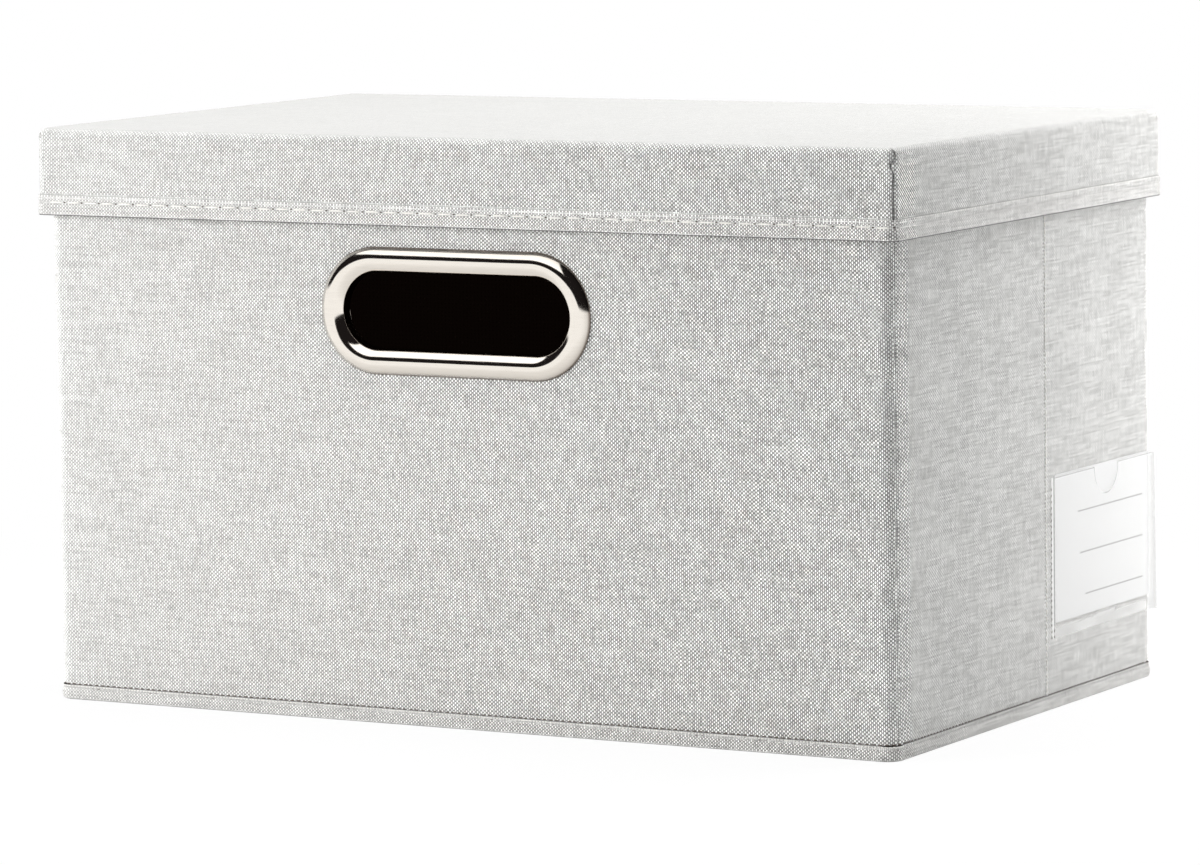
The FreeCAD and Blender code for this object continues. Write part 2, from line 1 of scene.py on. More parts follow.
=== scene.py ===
# %% [markdown]
# # A folding storage box covered in linen
# The real box is made of stiff boards with pale linen glued and sewn over them. It has a lift-off lid, a
# polished oval eyelet as a handle and a clear pocket for a label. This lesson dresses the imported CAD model:
# every cloth and bright part is a surface worked out with numpy, and each finish is made of procedural
# nodes.

# %% Load the frame
import math

import bmesh
import bpy
import numpy as np
from mathutils import Matrix, Vector


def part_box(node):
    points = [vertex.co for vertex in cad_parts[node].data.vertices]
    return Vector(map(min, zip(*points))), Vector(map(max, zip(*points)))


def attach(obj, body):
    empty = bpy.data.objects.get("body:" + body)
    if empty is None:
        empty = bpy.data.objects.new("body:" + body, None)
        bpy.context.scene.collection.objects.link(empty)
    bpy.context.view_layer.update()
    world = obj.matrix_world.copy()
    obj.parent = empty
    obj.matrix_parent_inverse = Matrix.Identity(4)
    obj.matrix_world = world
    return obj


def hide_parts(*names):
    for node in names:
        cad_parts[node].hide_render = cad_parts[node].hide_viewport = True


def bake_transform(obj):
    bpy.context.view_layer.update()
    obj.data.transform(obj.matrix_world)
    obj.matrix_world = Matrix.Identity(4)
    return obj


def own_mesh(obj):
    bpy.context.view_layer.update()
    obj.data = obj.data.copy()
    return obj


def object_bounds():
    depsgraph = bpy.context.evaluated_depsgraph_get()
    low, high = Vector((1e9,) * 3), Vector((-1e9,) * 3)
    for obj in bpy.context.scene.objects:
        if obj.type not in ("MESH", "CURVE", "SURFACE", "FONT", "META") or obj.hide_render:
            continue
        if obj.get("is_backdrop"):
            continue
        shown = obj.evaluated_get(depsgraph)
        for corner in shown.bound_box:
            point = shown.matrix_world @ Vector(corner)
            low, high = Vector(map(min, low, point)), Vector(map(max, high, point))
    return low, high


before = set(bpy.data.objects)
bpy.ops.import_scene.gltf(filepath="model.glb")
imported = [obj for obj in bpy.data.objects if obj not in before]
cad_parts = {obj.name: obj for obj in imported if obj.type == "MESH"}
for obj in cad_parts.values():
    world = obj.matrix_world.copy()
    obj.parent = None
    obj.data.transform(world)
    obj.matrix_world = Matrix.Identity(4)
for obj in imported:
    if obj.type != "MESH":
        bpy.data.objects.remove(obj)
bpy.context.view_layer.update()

# %% [markdown]
# ## Sizes from the frame
# Nothing is measured by eye here. The walls, the lid and the pocket are read from the boxes of the CAD
# pieces, so a new size in the CAD model moves every cloth with it. Only the small things that cloth adds
# have sizes of their own, in millimetres.

# %% Sizes
MM = 0.001
MERGE = 2e-6


def corners(node):
    """Lowest and highest corner of a CAD piece as two arrays."""
    low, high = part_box(node)
    return np.array(low), np.array(high)


wall_low, wall_high = corners("front_linen")
HALF_X = wall_high[0]
HALF_Y = -wall_low[1]
PIVOT_Y = -wall_high[1]
WALL_LOW, WALL_TOP = wall_low[2], wall_high[2]
INNER_X, INNER_Y = corners("floor_cloth")[1][:2]
BEND = 6.5 * MM
BEND_X = HALF_X - BEND
BEND_Y = HALF_Y - BEND
HINGE_ROOM = 1.4 * MM
CREASE_ROOM = 4.5 * MM
print("walls", HALF_X, HALF_Y, "pivots at", PIVOT_Y, "heights", WALL_LOW, WALL_TOP)

# %% [markdown]
# ## From a grid of points to a mesh
# A cloth is a surface of two parameters. Each patch is a whole array of points, with a weave coordinate in
# metres at each point and a painted shade that darkens the linen at seams, grooves and gaps where it is above
# 0 and is a painted highlight where it is below 0. Patches that meet share their edge points, which are
# merged afterwards, so a seam in the weave coordinate leaves no gap in the cloth.

# %% Helpers for arrays
def joined(*parts):
    """Arrays stretched to one shape and put together in a new last direction, such as x, y and z."""
    return np.stack(np.broadcast_arrays(*parts), axis=-1)


def crossed(first, second):
    """A grid with each pair of a value from the first list and one from the second."""
    return joined(first[:, None], second[None, :])


def patch(points, weave, shade=0.0):
    """A grid of points, its weave coordinates and a painted shade: above 0 darker, below 0 paler."""
    return points, weave, np.broadcast_to(shade, points.shape[:-1])


def reversed_patch(piece):
    """The same patch with its first direction the other way, which turns its faces over."""
    return tuple(part[::-1] for part in piece)


def turned(points, sign):
    """Turns points half round about the upright axis where the sign is -1, for the wall opposite."""
    return points * np.array([sign, sign, 1.0])


def even_steps(low, high, apart):
    """Places from low to high, about so far apart."""
    return np.linspace(low, high, max(2, int(round((high - low) / apart)) + 1))


def fine_steps(low, high, coarse, spots=(), reach=0.0, fine=1.0):
    """Places from low to high about coarse apart, and fine apart within reach of each spot."""
    places = [even_steps(low, high, coarse)]
    for spot in spots:
        start, stop = max(low, spot - reach), min(high, spot + reach)
        if stop > start:
            places.append(even_steps(start, stop, fine))
    merged = np.unique(np.round(np.concatenate(places), 7))
    return merged[np.concatenate([[True], np.diff(merged) > MERGE * 4])]


def bump(distance, width):
    """A bell shape: 1 at no distance and near 0 beyond twice the width."""
    return np.exp(-((distance / width) ** 2))


def smooth_step(value):
    """A ramp from 0 to 1 that starts and ends level."""
    value = np.clip(value, 0, 1)
    return value * value * (3 - 2 * value)


print("places that are close together near 5:", fine_steps(0, 10, 5, (5,), 1, 0.5))

# %% Helpers for meshes
SMOOTH_ANGLE = math.radians(40)
CLEAR_BY_AXIS = (0.3, 1.0, 0.25)
SLUBS_BY_AXIS = (1.4, 1.0, 0.35)
CLEAR_SLOPE = 0.4
STRIP_CLEAR = 0.8
STRIP_START = 109 * MM
STRIP_FADE = 2.5 * MM


def grid_faces(shape, start):
    """Corner numbers of each four-sided face in a grid, or a stack of grids, counted from a start."""
    index = np.arange(math.prod(shape)).reshape(shape) + start
    numbers = [index[..., :-1, :-1], index[..., 1:, :-1], index[..., 1:, 1:], index[..., :-1, 1:]]
    return np.stack(numbers, axis=-1).reshape(-1, 4)


def sharpen_borders(mesh):
    """Marks the open edges of a sheet as sharp, so that its thickness doesn't bend the light beside them."""
    edge_of_corner = np.empty(len(mesh.loops), np.int32)
    mesh.loops.foreach_get("edge_index", edge_of_corner)
    sharp = mesh.attributes.get("sharp_edge") or mesh.attributes.new("sharp_edge", "BOOLEAN", "EDGE")
    marks = np.empty(len(mesh.edges), bool)
    sharp.data.foreach_get("value", marks)
    marks |= np.bincount(edge_of_corner, minlength=len(mesh.edges)) == 1
    sharp.data.foreach_set("value", marks)


def store(mesh, name, values):
    """Stores one value at each point of a mesh."""
    mesh.attributes.new(name, "FLOAT", "POINT").data.foreach_set("value", values.astype(np.float32))


def mark_weave(mesh):
    """Stores how clearly the weave and its slubs show at each point, by the way the cloth faces."""
    facing = np.empty(len(mesh.vertices) * 3, np.float32)
    places = np.empty_like(facing)
    mesh.vertices.foreach_get("normal", facing)
    mesh.vertices.foreach_get("co", places)
    shares = facing.reshape(-1, 3) ** 2
    places = places.reshape(-1, 3)
    strip = STRIP_CLEAR * smooth_step((-places[:, 1] - STRIP_START) / STRIP_FADE) * (1 - shares[:, 2])
    clear = np.maximum(shares @ np.array(CLEAR_BY_AXIS), strip)
    store(mesh, "clear", clear * (1 + CLEAR_SLOPE * places[:, 0] / HALF_X))
    store(mesh, "slubs", shares @ np.array(SLUBS_BY_AXIS))


def build(name, patches, material, thickness=None):
    """One mesh from several patches, smooth up to a sharp edge. A thickness goes inwards from what shows."""
    starts = np.cumsum([0] + [math.prod(points.shape[:-1]) for points, _, _ in patches])
    faces = np.concatenate([grid_faces(part[0].shape[:-1], start) for part, start in zip(patches, starts)])
    points = np.concatenate([part[0].reshape(-1, 3) for part in patches])
    weaves = np.concatenate([part[1].reshape(-1, 2) for part in patches])
    mesh = bpy.data.meshes.new(name)
    mesh.from_pydata(points, [], faces)
    mesh.uv_layers.new(name="weave").data.foreach_set("uv", weaves[faces.ravel()].astype(np.float32).ravel())
    store(mesh, "shade", np.concatenate([part[2].ravel() for part in patches]))
    merged = bmesh.new()
    merged.from_mesh(mesh)
    bmesh.ops.remove_doubles(merged, verts=merged.verts, dist=MERGE)
    bmesh.ops.dissolve_degenerate(merged, edges=merged.edges, dist=MERGE)
    merged.to_mesh(mesh)
    merged.free()
    mesh.shade_smooth()
    mesh.set_sharp_from_angle(angle=SMOOTH_ANGLE)
    sharpen_borders(mesh)
    mark_weave(mesh)
    mesh.materials.append(material)
    made = bpy.data.objects.new(name, mesh)
    bpy.context.scene.collection.objects.link(made)
    if thickness:
        solid = made.modifiers.new("cloth", "SOLIDIFY")
        solid.thickness = thickness
        solid.offset = -1
    return made


def dress(piece, body, slot, *nodes):
    """Rides a piece on its body and hides the CAD pieces that it stands for."""
    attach(piece, body)
    if nodes:
        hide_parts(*nodes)


def bend(piece, bodies, slot, start, end, *nodes):
    """Bakes a piece's place into its mesh and hides the CAD pieces that it stands for."""
    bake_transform(piece)
    if nodes:
        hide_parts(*nodes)


print("faces of a grid of 2 by 3 points:", grid_faces((2, 3), 0).tolist())

# %% [markdown]
# ## Linen
# The cloth is a plain weave: each pale warp thread goes over one greyish weft thread and under the next.
# Its two families of threads are the two axes of the weave coordinate. A thread has a round top, so its
# height across is a half sine, and it rises and sinks along its length as a wave that starts one thread
# later on the next. The higher of the two threads shows. Slow noise along each thread makes it thick or
# thin, bright or dull, which gives linen its streaks. The cloth is stretched most over the long walls,
# where its gaps stand open, and is pressed flatter on the ends and the top, so each point stores how
# clearly the weave shows.

# %% Node helpers
class Finish:
    """The nodes of a material or a world, made by short calls that each give back an output socket."""

    def __init__(self, owner):
        owner.use_nodes = True
        self.owner = owner
        self.tree = owner.node_tree
        self.shader = self.first("BSDF_PRINCIPLED")

    def first(self, kind):
        """The first node of a kind, or None."""
        return next((node for node in self.tree.nodes if node.type == kind), None)

    def node(self, kind, inputs=(), **settings):
        """Adds a node, with its inputs by name or number and its settings by name."""
        made = self.tree.nodes.new(kind)
        for key, value in settings.items():
            setattr(made, key, value)
        for socket, value in dict(inputs).items():
            self.feed(made.inputs[socket], value)
        return made

    def feed(self, socket, value):
        """Links a socket to an output, or sets it to a plain value."""
        if isinstance(value, bpy.types.NodeSocket):
            self.tree.links.new(value, socket)
        elif value is not None:
            socket.default_value = value

    def math(self, operation, *values):
        return self.node("ShaderNodeMath", dict(enumerate(values)), operation=operation).outputs[0]

    def mix(self, share, first, second, kind="MIX"):
        """A colour between two others: the first where the share is 0, the second where it is 1."""
        inputs = {0: share, 6: first, 7: second}
        return self.node("ShaderNodeMix", inputs, data_type="RGBA", blend_type=kind).outputs[2]

    def ramp(self, value, low, high, start=0.0, stop=1.0):
        """Smooth change from start to stop as the value goes from low to high."""
        inputs = {0: value, 1: low, 2: high, 3: start, 4: stop}
        return self.node("ShaderNodeMapRange", inputs, interpolation_type="SMOOTHSTEP").outputs[0]

    def calmed(self, value, middle, share):
        """A value drawn towards a middle one: the middle plus a share of the difference."""
        return self.math("MULTIPLY_ADD", self.math("SUBTRACT", value, middle), share, middle)

    def noise(self, vector, scale, detail=2.0, roughness=0.5):
        """Soft random values, about a half in the middle."""
        inputs = {"Vector": vector, "Scale": scale, "Detail": detail, "Roughness": roughness}
        return self.node("ShaderNodeTexNoise", inputs).outputs[0]

    def vector(self, x, y):
        return self.node("ShaderNodeCombineXYZ", {0: x, 1: y}).outputs[0]

    def split(self, vector):
        return self.node("ShaderNodeSeparateXYZ", {0: vector}).outputs

    def stretched(self, vector, scale):
        return self.node("ShaderNodeMapping", {"Vector": vector, "Scale": scale}).outputs[0]

    def weave(self):
        """The weave coordinate, in metres along the two families of threads."""
        return self.node("ShaderNodeUVMap", uv_map="weave").outputs[0]

    def place(self):
        """The place in the object's own metres."""
        return self.node("ShaderNodeTexCoord").outputs["Object"]

    def stored(self, name):
        """A value that each point of the mesh stores."""
        return self.node("ShaderNodeAttribute", attribute_name=name).outputs["Fac"]

    def bump(self, height, depth, strength=1.0):
        inputs = {"Height": height, "Distance": depth, "Strength": strength}
        self.feed(self.shader.inputs["Normal"], self.node("ShaderNodeBump", inputs).outputs[0])

    def set(self, **values):
        """Sets or links the shader's sockets, named with _ for a space."""
        for name, value in values.items():
            self.feed(self.shader.inputs[name.replace("_", " ")], value)


def new_finish(name):
    return Finish(bpy.data.materials.new(name))


def colour(red, green, blue):
    """A colour given as it looks on a screen, from 0 to 255, as the linear values that a socket takes."""
    share = np.array([red, green, blue]) / 255
    linear = np.where(share <= 0.04045, share / 12.92, ((share + 0.055) / 1.055) ** 2.4)
    return (*linear, 1.0)


print("a middle grey as a socket takes it:", [round(float(value), 3) for value in colour(128, 128, 128)])

# %% Linen
PITCHES = (0.88 * MM, 0.775 * MM)
BINDING_PITCHES = (0.8 * MM, 0.7 * MM)
WANDER = (1.2, -1.0)
THREAD_APART = 7.31
SLUB_RATES = (0.10, 0.045)
TIGHT_WARP = 5.0
GRAIN = 0.14
RELIEF_SHOWN = 0.16


def weave_height(finish, across, along, side):
    """Height of a family of threads: a half sine across, times a wave that starts later on each thread."""
    number = finish.math("FLOOR", across)
    round_top = finish.math("SINE", finish.math("MULTIPLY", finish.math("FRACT", across), math.pi))
    phase = finish.math("ADD", finish.math("SUBTRACT", along, 0.5), number)
    phase = finish.math("MULTIPLY", phase, math.pi)
    wave = finish.math("MULTIPLY_ADD", finish.math("COSINE", phase), 0.5 * side, 0.5)
    return finish.math("MULTIPLY", round_top, finish.math("MULTIPLY_ADD", wave, 0.8, 0.2))


def thread_noise(finish, across, along, slub):
    """A value that differs from thread to thread and changes slowly along each, slub times for a thread."""
    number = finish.math("MULTIPLY", finish.math("FLOOR", across), THREAD_APART)
    return finish.noise(finish.vector(number, finish.math("MULTIPLY", along, slub)), 1.0, 1.0, 0.6)


def make_linen(name, warp_colour, weft_colour, pitches, relief):
    """Plain weave with streaks, with painted shade where the stored shade is above 0 and painted light below
    0.
    """
    finish = new_finish(name)
    weave = finish.weave()
    wander = finish.noise(weave, 70.0, 0.0)
    scaled = {0: weave, 1: (1 / pitches[0], 1 / pitches[1], 1.0)}
    place = finish.split(finish.node("ShaderNodeVectorMath", scaled, operation="MULTIPLY").outputs[0])
    across = finish.math("ADD", place[0], finish.math("MULTIPLY", wander, WANDER[0]))
    along = finish.math("ADD", place[1], finish.math("MULTIPLY", wander, WANDER[1]))
    warp_noise = thread_noise(finish, across, along, SLUB_RATES[0])
    weft_noise = thread_noise(finish, along, across, SLUB_RATES[1])
    warp_thick = finish.ramp(warp_noise, 0.25, 0.75, 0.85, 1.15)
    weft_thick = finish.ramp(weft_noise, 0.25, 0.75, 0.85, 1.15)
    warp = finish.math("MULTIPLY", weave_height(finish, across, along, 1), warp_thick)
    weft = finish.math("MULTIPLY", weave_height(finish, along, across, -1), weft_thick)
    height = finish.math("MAXIMUM", warp, weft)
    shade, clear, slubs = finish.stored("shade"), finish.stored("clear"), finish.stored("slubs")
    tight = finish.math("MULTIPLY", finish.math("MAXIMUM", shade, 0.0), TIGHT_WARP)
    over = finish.math("ADD", finish.math("SUBTRACT", warp, weft), tight)
    warp_shows = finish.calmed(finish.ramp(over, -0.2, 0.2), 0.5, clear)
    tint = finish.mix(warp_shows, weft_colour, warp_colour)
    warp_streak = finish.ramp(warp_noise, 0.3, 0.7, -0.05, 0.05)
    weft_streak = finish.ramp(weft_noise, 0.3, 0.7, -0.085, 0.085)
    cloudy = finish.ramp(finish.noise(weave, 30.0, 2.0), 0.3, 0.7, -0.02, 0.02)
    streaks = finish.math("ADD", finish.math("ADD", warp_streak, weft_streak), cloudy)
    crossing = {"Vector": finish.vector(finish.math("FLOOR", across), finish.math("FLOOR", along))}
    random_tone = finish.node("ShaderNodeTexWhiteNoise", crossing, noise_dimensions="2D").outputs["Value"]
    grain = finish.calmed(finish.ramp(random_tone, 0.0, 1.0, -GRAIN, GRAIN), 0.0, clear)
    # Painted shade: the low parts of the weave, between the threads, are darker.
    depth = finish.calmed(finish.ramp(height, 0.15, 0.8, 0.42, 1.05), 0.83, clear)
    uneven = finish.math("MULTIPLY_ADD", streaks, slubs, grain)
    light = finish.math("MULTIPLY", depth, finish.math("ADD", uneven, 1.0))
    light = finish.math("MULTIPLY", light, finish.math("SUBTRACT", 1.0, finish.math("MULTIPLY", shade, 0.9)))
    grey = finish.node("ShaderNodeCombineColor", {0: light, 1: light, 2: light}).outputs[0]
    finish.set(Base_Color=finish.mix(1.0, tint, grey, "MULTIPLY"), Roughness=0.86)
    finish.set(Specular_IOR_Level=0.25, Sheen_Weight=0.12, Sheen_Roughness=0.5)
    finish.bump(height, relief, finish.math("MULTIPLY", clear, RELIEF_SHOWN))
    return finish.owner


linen = make_linen("linen", colour(255, 255, 253), colour(146, 145, 143), PITCHES, 0.16 * MM)
binding_linen = make_linen(
    "binding_linen", colour(255, 254, 252), colour(152, 151, 148), BINDING_PITCHES, 0.12 * MM)
print("linens", linen.name, binding_linen.name)

# %% [markdown]
# ## The other finishes
# The lining is a dark non-woven felt with small pressed dots. Greyboard is pressed paper with long pale and
# dark fibres. The eyelet is polished steel: a metal with a low roughness that rises a little in faint wipe
# marks. The pocket is a clear film, so it is nearly see-through but keeps its gloss. Thread is twisted, so
# it has slanted bands.

# %% Felt, board, metal, film, card and thread
TWIST_RATES = (2400.0, 900.0)


def make_felt():
    """Non-woven lining: a scatter of fibres with a grid of pressed dots, and a faint painted glow."""
    finish = new_finish("dark_felt")
    place = finish.weave()
    dots = finish.node("ShaderNodeTexVoronoi", {"Vector": place, "Scale": 520.0, "Randomness": 0.15})
    pressed = finish.ramp(dots.outputs["Distance"], 0.12, 0.3)
    tone = finish.math("MULTIPLY", finish.noise(place, 1900.0, 4.0, 0.7), pressed)
    finish.set(Base_Color=finish.mix(finish.ramp(tone, 0.1, 0.7), colour(38, 30, 27), colour(66, 56, 51)))
    finish.set(Roughness=0.95, Specular_IOR_Level=0.2, Sheen_Weight=0.1)
    # A faint glow of the felt: painted light for the dim inside of the box.
    finish.set(Emission_Color=colour(90, 66, 54), Emission_Strength=0.02)
    finish.bump(tone, 0.12 * MM)
    return finish.owner


def make_greyboard():
    """Pressed board of waste paper with fibres of both tones."""
    finish = new_finish("pressed_greyboard")
    place = finish.place()
    fibres = finish.noise(finish.stretched(place, (1.0, 1.0, 0.35)), 900.0, 5.0, 0.75)
    clouds = finish.math("MULTIPLY", finish.noise(place, 40.0, 3.0), 0.3)
    tone = finish.math("ADD", finish.ramp(fibres, 0.3, 0.7, 0.0, 0.7), clouds)
    finish.set(Base_Color=finish.mix(tone, colour(118, 110, 100), colour(168, 160, 148)))
    finish.set(Roughness=0.9, Specular_IOR_Level=0.2)
    finish.bump(fibres, 0.05 * MM)
    return finish.owner


def make_polished_metal():
    """Bright plated steel with wipe marks, and a brown painted shade where the stored shade is high."""
    finish = new_finish("polished_steel")
    place = finish.place()
    marks = finish.noise(finish.stretched(place, (1.0, 1.0, 9.0)), 160.0, 4.0, 0.6)
    bright = finish.mix(marks, colour(248, 243, 236), colour(239, 233, 225))
    finish.set(Base_Color=finish.mix(finish.stored("shade"), bright, colour(96, 82, 72)), Metallic=1.0)
    finish.set(Roughness=finish.ramp(marks, 0.35, 0.75, 0.07, 0.13))
    finish.bump(finish.noise(place, 55.0, 2.0), 0.08 * MM)
    return finish.owner


def make_film():
    """Clear pocket film, milky where the stored shade is above 0, and grey painted shade where it is below 0.
    """
    finish = new_finish("clear_film")
    weld = finish.stored("shade")
    waves = finish.noise(finish.place(), 45.0, 2.0)
    clear = finish.mix(waves, colour(246, 246, 245), colour(252, 252, 251))
    finish.set(Base_Color=finish.mix(finish.ramp(weld, -1.0, 0.0, 1.0, 0.0), clear, colour(150, 150, 149)))
    finish.set(Roughness=finish.ramp(waves, 0.3, 0.7, 0.10, 0.2), IOR=1.5, Specular_IOR_Level=0.12)
    finish.set(Alpha=finish.ramp(finish.math("ABSOLUTE", weld), 0.0, 1.0, 0.05, 0.8))
    finish.bump(waves, 0.4 * MM)
    return finish.owner


def make_card():
    """Smooth white card with a fine paper grain."""
    finish = new_finish("white_card")
    grain = finish.noise(finish.place(), 1400.0, 4.0, 0.7)
    finish.set(Base_Color=finish.mix(grain, colour(217, 217, 217), colour(223, 223, 223)), Roughness=0.6)
    finish.bump(grain, 0.02 * MM)
    return finish.owner


def make_thread(name, light_colour, dark_colour):
    """Twisted sewing thread: slanted bands of two tones."""
    finish = new_finish(name)
    weave = finish.weave()
    place = finish.split(weave)
    slants = [finish.math("MULTIPLY", place[axis], rate) for axis, rate in enumerate(TWIST_RATES)]
    slant = finish.math("ADD", *slants)
    twist = finish.math("SINE", finish.math("MULTIPLY", slant, math.tau))
    tone = finish.math("MULTIPLY_ADD", twist, 0.3, finish.noise(weave, 3000.0, 2.0))
    finish.set(Base_Color=finish.mix(finish.ramp(tone, 0.2, 0.8), dark_colour, light_colour))
    finish.set(Roughness=0.7, Sheen_Weight=0.15)
    finish.bump(twist, 0.04 * MM)
    return finish.owner


def make_ink():
    """Pale grey printing ink that lies a little unevenly."""
    finish = new_finish("pale_ink")
    patchy = finish.noise(finish.place(), 2500.0, 3.0)
    finish.set(Base_Color=finish.mix(patchy, colour(166, 166, 166), colour(180, 180, 180)), Roughness=0.7)
    return finish.owner


felt = make_felt()
greyboard = make_greyboard()
polished_metal = make_polished_metal()
film = make_film()
card_white = make_card()
pale_thread = make_thread("pale_thread", colour(254, 253, 250), colour(236, 233, 227))
grey_thread = make_thread("grey_thread", colour(186, 183, 177), colour(140, 137, 131))
# Dark thread for needle holes and the foot binding's gaps: painted shade where the holes and gaps are.
hole_shadow = make_thread("painted_hole_shade", colour(104, 94, 84), colour(72, 62, 54))
ink = make_ink()
print("finishes", len(bpy.data.materials))

# %% [markdown]
# ## Outer linen of the long walls
# The front and the back wall are each covered by one cloth that turns round both corners. The flat part has
# an oval hole under the eyelet. A grid can't have a hole, but a ring can: each point of the wall's outline
# is joined to the nearest point of the oval, so the surface is worked out by the distance outwards and the
# place round the outline. The glued cloth isn't dead flat, so it gets slow ripples that stand out by a
# third of a millimetre. At each upright corner the cloth is creased: a thin ridge with a painted highlight,
# and a narrow groove beside it with painted shade. The cloth round the corner is painted a little paler,
# a painted light where the turned cloth gets less light.

# %% Long walls
CLOTH = 0.45 * MM
GRID = 4 * MM
eyelet_low, eyelet_high = corners("front_eyelet")
OVAL_Z = (eyelet_low[2] + eyelet_high[2]) / 2
OVAL_HIGH = (eyelet_high[2] - eyelet_low[2]) / 2
OVAL_LONG = (eyelet_high[0] - eyelet_low[0]) / 2
OVAL_TURN = OVAL_LONG - OVAL_HIGH
RIM = 10.8 * MM
FINGER_HIGH = OVAL_HIGH - RIM
CLOTH_HOLE = FINGER_HIGH + 2.2 * MM
RIPPLE = 0.3 * MM
FLAT_EDGE = 12 * MM
ARC = BEND * math.pi / 2
END_START = BEND_X + ARC + BEND_Y
CREASE_RIDGE = 0.3 * MM
CREASE_GROOVE = 0.4 * MM
CREASE_WIDTH = 0.32 * MM
CREASE_APART = 0.85 * MM
CREASE_PLACE = ARC * 0.67
# Painted highlight on the crease's ridge, painted shade in its groove, and painted light beside the corner.
CREASE_PAINTED_HIGHLIGHT = 0.8
CREASE_PAINTED_SHADE = 0.8
CORNER_LIGHT_PLACE = ARC * 0.45
CORNER_PAINTED_LIGHT = -0.15
CORNER_REACH = 3.8 * MM
ARC_OPEN = 0.3
STRIP_OPEN = 0.38
STRIP = 8.5 * MM


def ripple(along, up, seed):
    """Slow waves in two directions, never below the board."""
    first = np.sin(along / (31 * MM) + 1.7 * seed) * np.sin(up / (43 * MM) + 0.9 * seed)
    second = np.sin((along + up * 0.6) / (17 * MM) + 2.3 * seed)
    return RIPPLE * (0.5 + 0.36 * first + 0.14 * second)


def faded(along, up, half_long, low, high, reach=FLAT_EDGE):
    """1 inside a rectangle, falling to 0 at its edges."""
    side = smooth_step((half_long - np.abs(along)) / reach)
    return side * smooth_step((up - low) / reach) * smooth_step((high - up) / reach)


def outline_points(half_long, low, high, step):
    """Points round an upright rectangle, anticlockwise from its lower left corner, closed."""
    across = even_steps(-half_long, half_long, step)
    upward = even_steps(low, high, step)
    runs = [joined(across[:-1], low), joined(half_long, upward[:-1])]
    runs += [joined(across[:0:-1], high), joined(-half_long, upward[::-1])]
    return np.concatenate(runs)


def holed_face(half_long, low, high, hole, rings=26, step=GRID):
    """Places (x, z) of a rectangle with an oval hole: from the oval outwards, and round it."""
    outer = outline_points(half_long, low, high, step)
    core = joined(np.clip(outer[:, 0], -OVAL_TURN, OVAL_TURN), OVAL_Z)
    away = outer - core
    inner = core + away / np.linalg.norm(away, axis=1, keepdims=True) * hole
    share = np.linspace(0, 1, rings)[:, None, None] ** 1.3
    return inner + (outer - inner) * share


def corner_painted_light(away):
    """Painted light: the cloth beside a corner is made a little paler, where the turned cloth gets less
    light.
    """
    return CORNER_PAINTED_LIGHT * bump(away, CORNER_REACH)


def arc_weave(length):
    """Weave coordinate round a corner: slower beyond the crease, because the cloth is pulled open there."""
    return length - ARC_OPEN * np.clip(length - CREASE_PLACE, 0, ARC - CREASE_PLACE)


def corner_run(end_y, sign):
    """Plan of the cloth round a corner of the front wall, from the flat face to an end at y = -end_y.

    A quarter circle and a short straight, with a ridge and a groove across it. Gives plan, length and shade.
    """
    length = fine_steps(0, ARC + BEND_Y - end_y, 0.5 * MM, [CREASE_PLACE], 2.4 * MM, 0.11 * MM)
    angle = np.clip(length / BEND, 0, math.pi / 2)
    out = joined(np.sin(angle), -np.cos(angle))
    middle = out * BEND + joined(BEND_X, np.clip(length - ARC, 0, None) - BEND_Y)
    ridge = bump(length - CREASE_PLACE, CREASE_WIDTH)
    groove = bump(length - CREASE_PLACE - CREASE_APART, CREASE_WIDTH)
    plan = middle + out * (CREASE_RIDGE * ridge - CREASE_GROOVE * groove)[:, None]
    # Painted shade in the groove, a painted highlight on the ridge and painted light beside the corner.
    shade = CREASE_PAINTED_SHADE * groove - CREASE_PAINTED_HIGHLIGHT * ridge + corner_painted_light(length - CORNER_LIGHT_PLACE)
    return plan * np.array([sign, 1.0]), length, shade


def upright(plan, along, heights, shade=0.0):
    """Raises a plan of points into a surface, first along the plan and then upwards."""
    points = joined(plan[:, None, 0], plan[:, None, 1], heights)
    return patch(points, crossed(along, heights), shade)


def wall_patches(sign, seed, left_end, right_end):
    """The flat face with its hole and the two corners of a long wall, the front one where the sign is 1."""
    face = holed_face(BEND_X, WALL_LOW, WALL_TOP, CLOTH_HOLE)
    along, up = face[..., 0], face[..., 1]
    lift = ripple(along, up, seed) * faded(along, up, BEND_X, WALL_LOW, WALL_TOP)
    around_hole = np.hypot(np.clip(np.abs(along) - OVAL_TURN, 0, None), up - OVAL_Z)
    lift *= smooth_step((around_hole - OVAL_HIGH) / (10 * MM))
    points = joined(along, -HALF_Y - lift, up)
    # Painted light on the flat face near the corners.
    patches = [patch(points, face, corner_painted_light(BEND_X + CORNER_LIGHT_PLACE - np.abs(along)))]
    heights = even_steps(WALL_LOW, WALL_TOP, GRID)
    for side, end_y in ((1, right_end), (-1, left_end)):
        plan, length, shade = corner_run(end_y, side)
        corner = upright(plan, (BEND_X + arc_weave(length)) * side, heights, shade[:, None])
        patches.append(corner if side > 0 else reversed_patch(corner))
    return [patch(turned(points, sign), weave, shade) for points, weave, shade in patches]


HINGED_END = PIVOT_Y + HINGE_ROOM
WALLS = {"front": (1, HINGED_END, PIVOT_Y), "back": (-1, HINGED_END, HINGED_END)}
for seed, (wall, (sign, right_end, left_end)) in enumerate(WALLS.items(), start=1):
    cloth = build(f"{wall}_wall_cloth", wall_patches(sign, seed, left_end, right_end), linen, CLOTH)
    dress(cloth, f"{wall}_wall", "linen", f"{wall}_linen")
    print(cloth.name, len(cloth.data.polygons), "faces")

# %% [markdown]
# ## Outer linen of the end walls
# Each end is one cloth over two boards that fold inwards, with a raised seam a little behind the middle.
# The cloth runs across the crease, and a narrow strip at each hinged corner is a cloth of its own. The strips
# join at rest with the same weave coordinates, so no join shows.

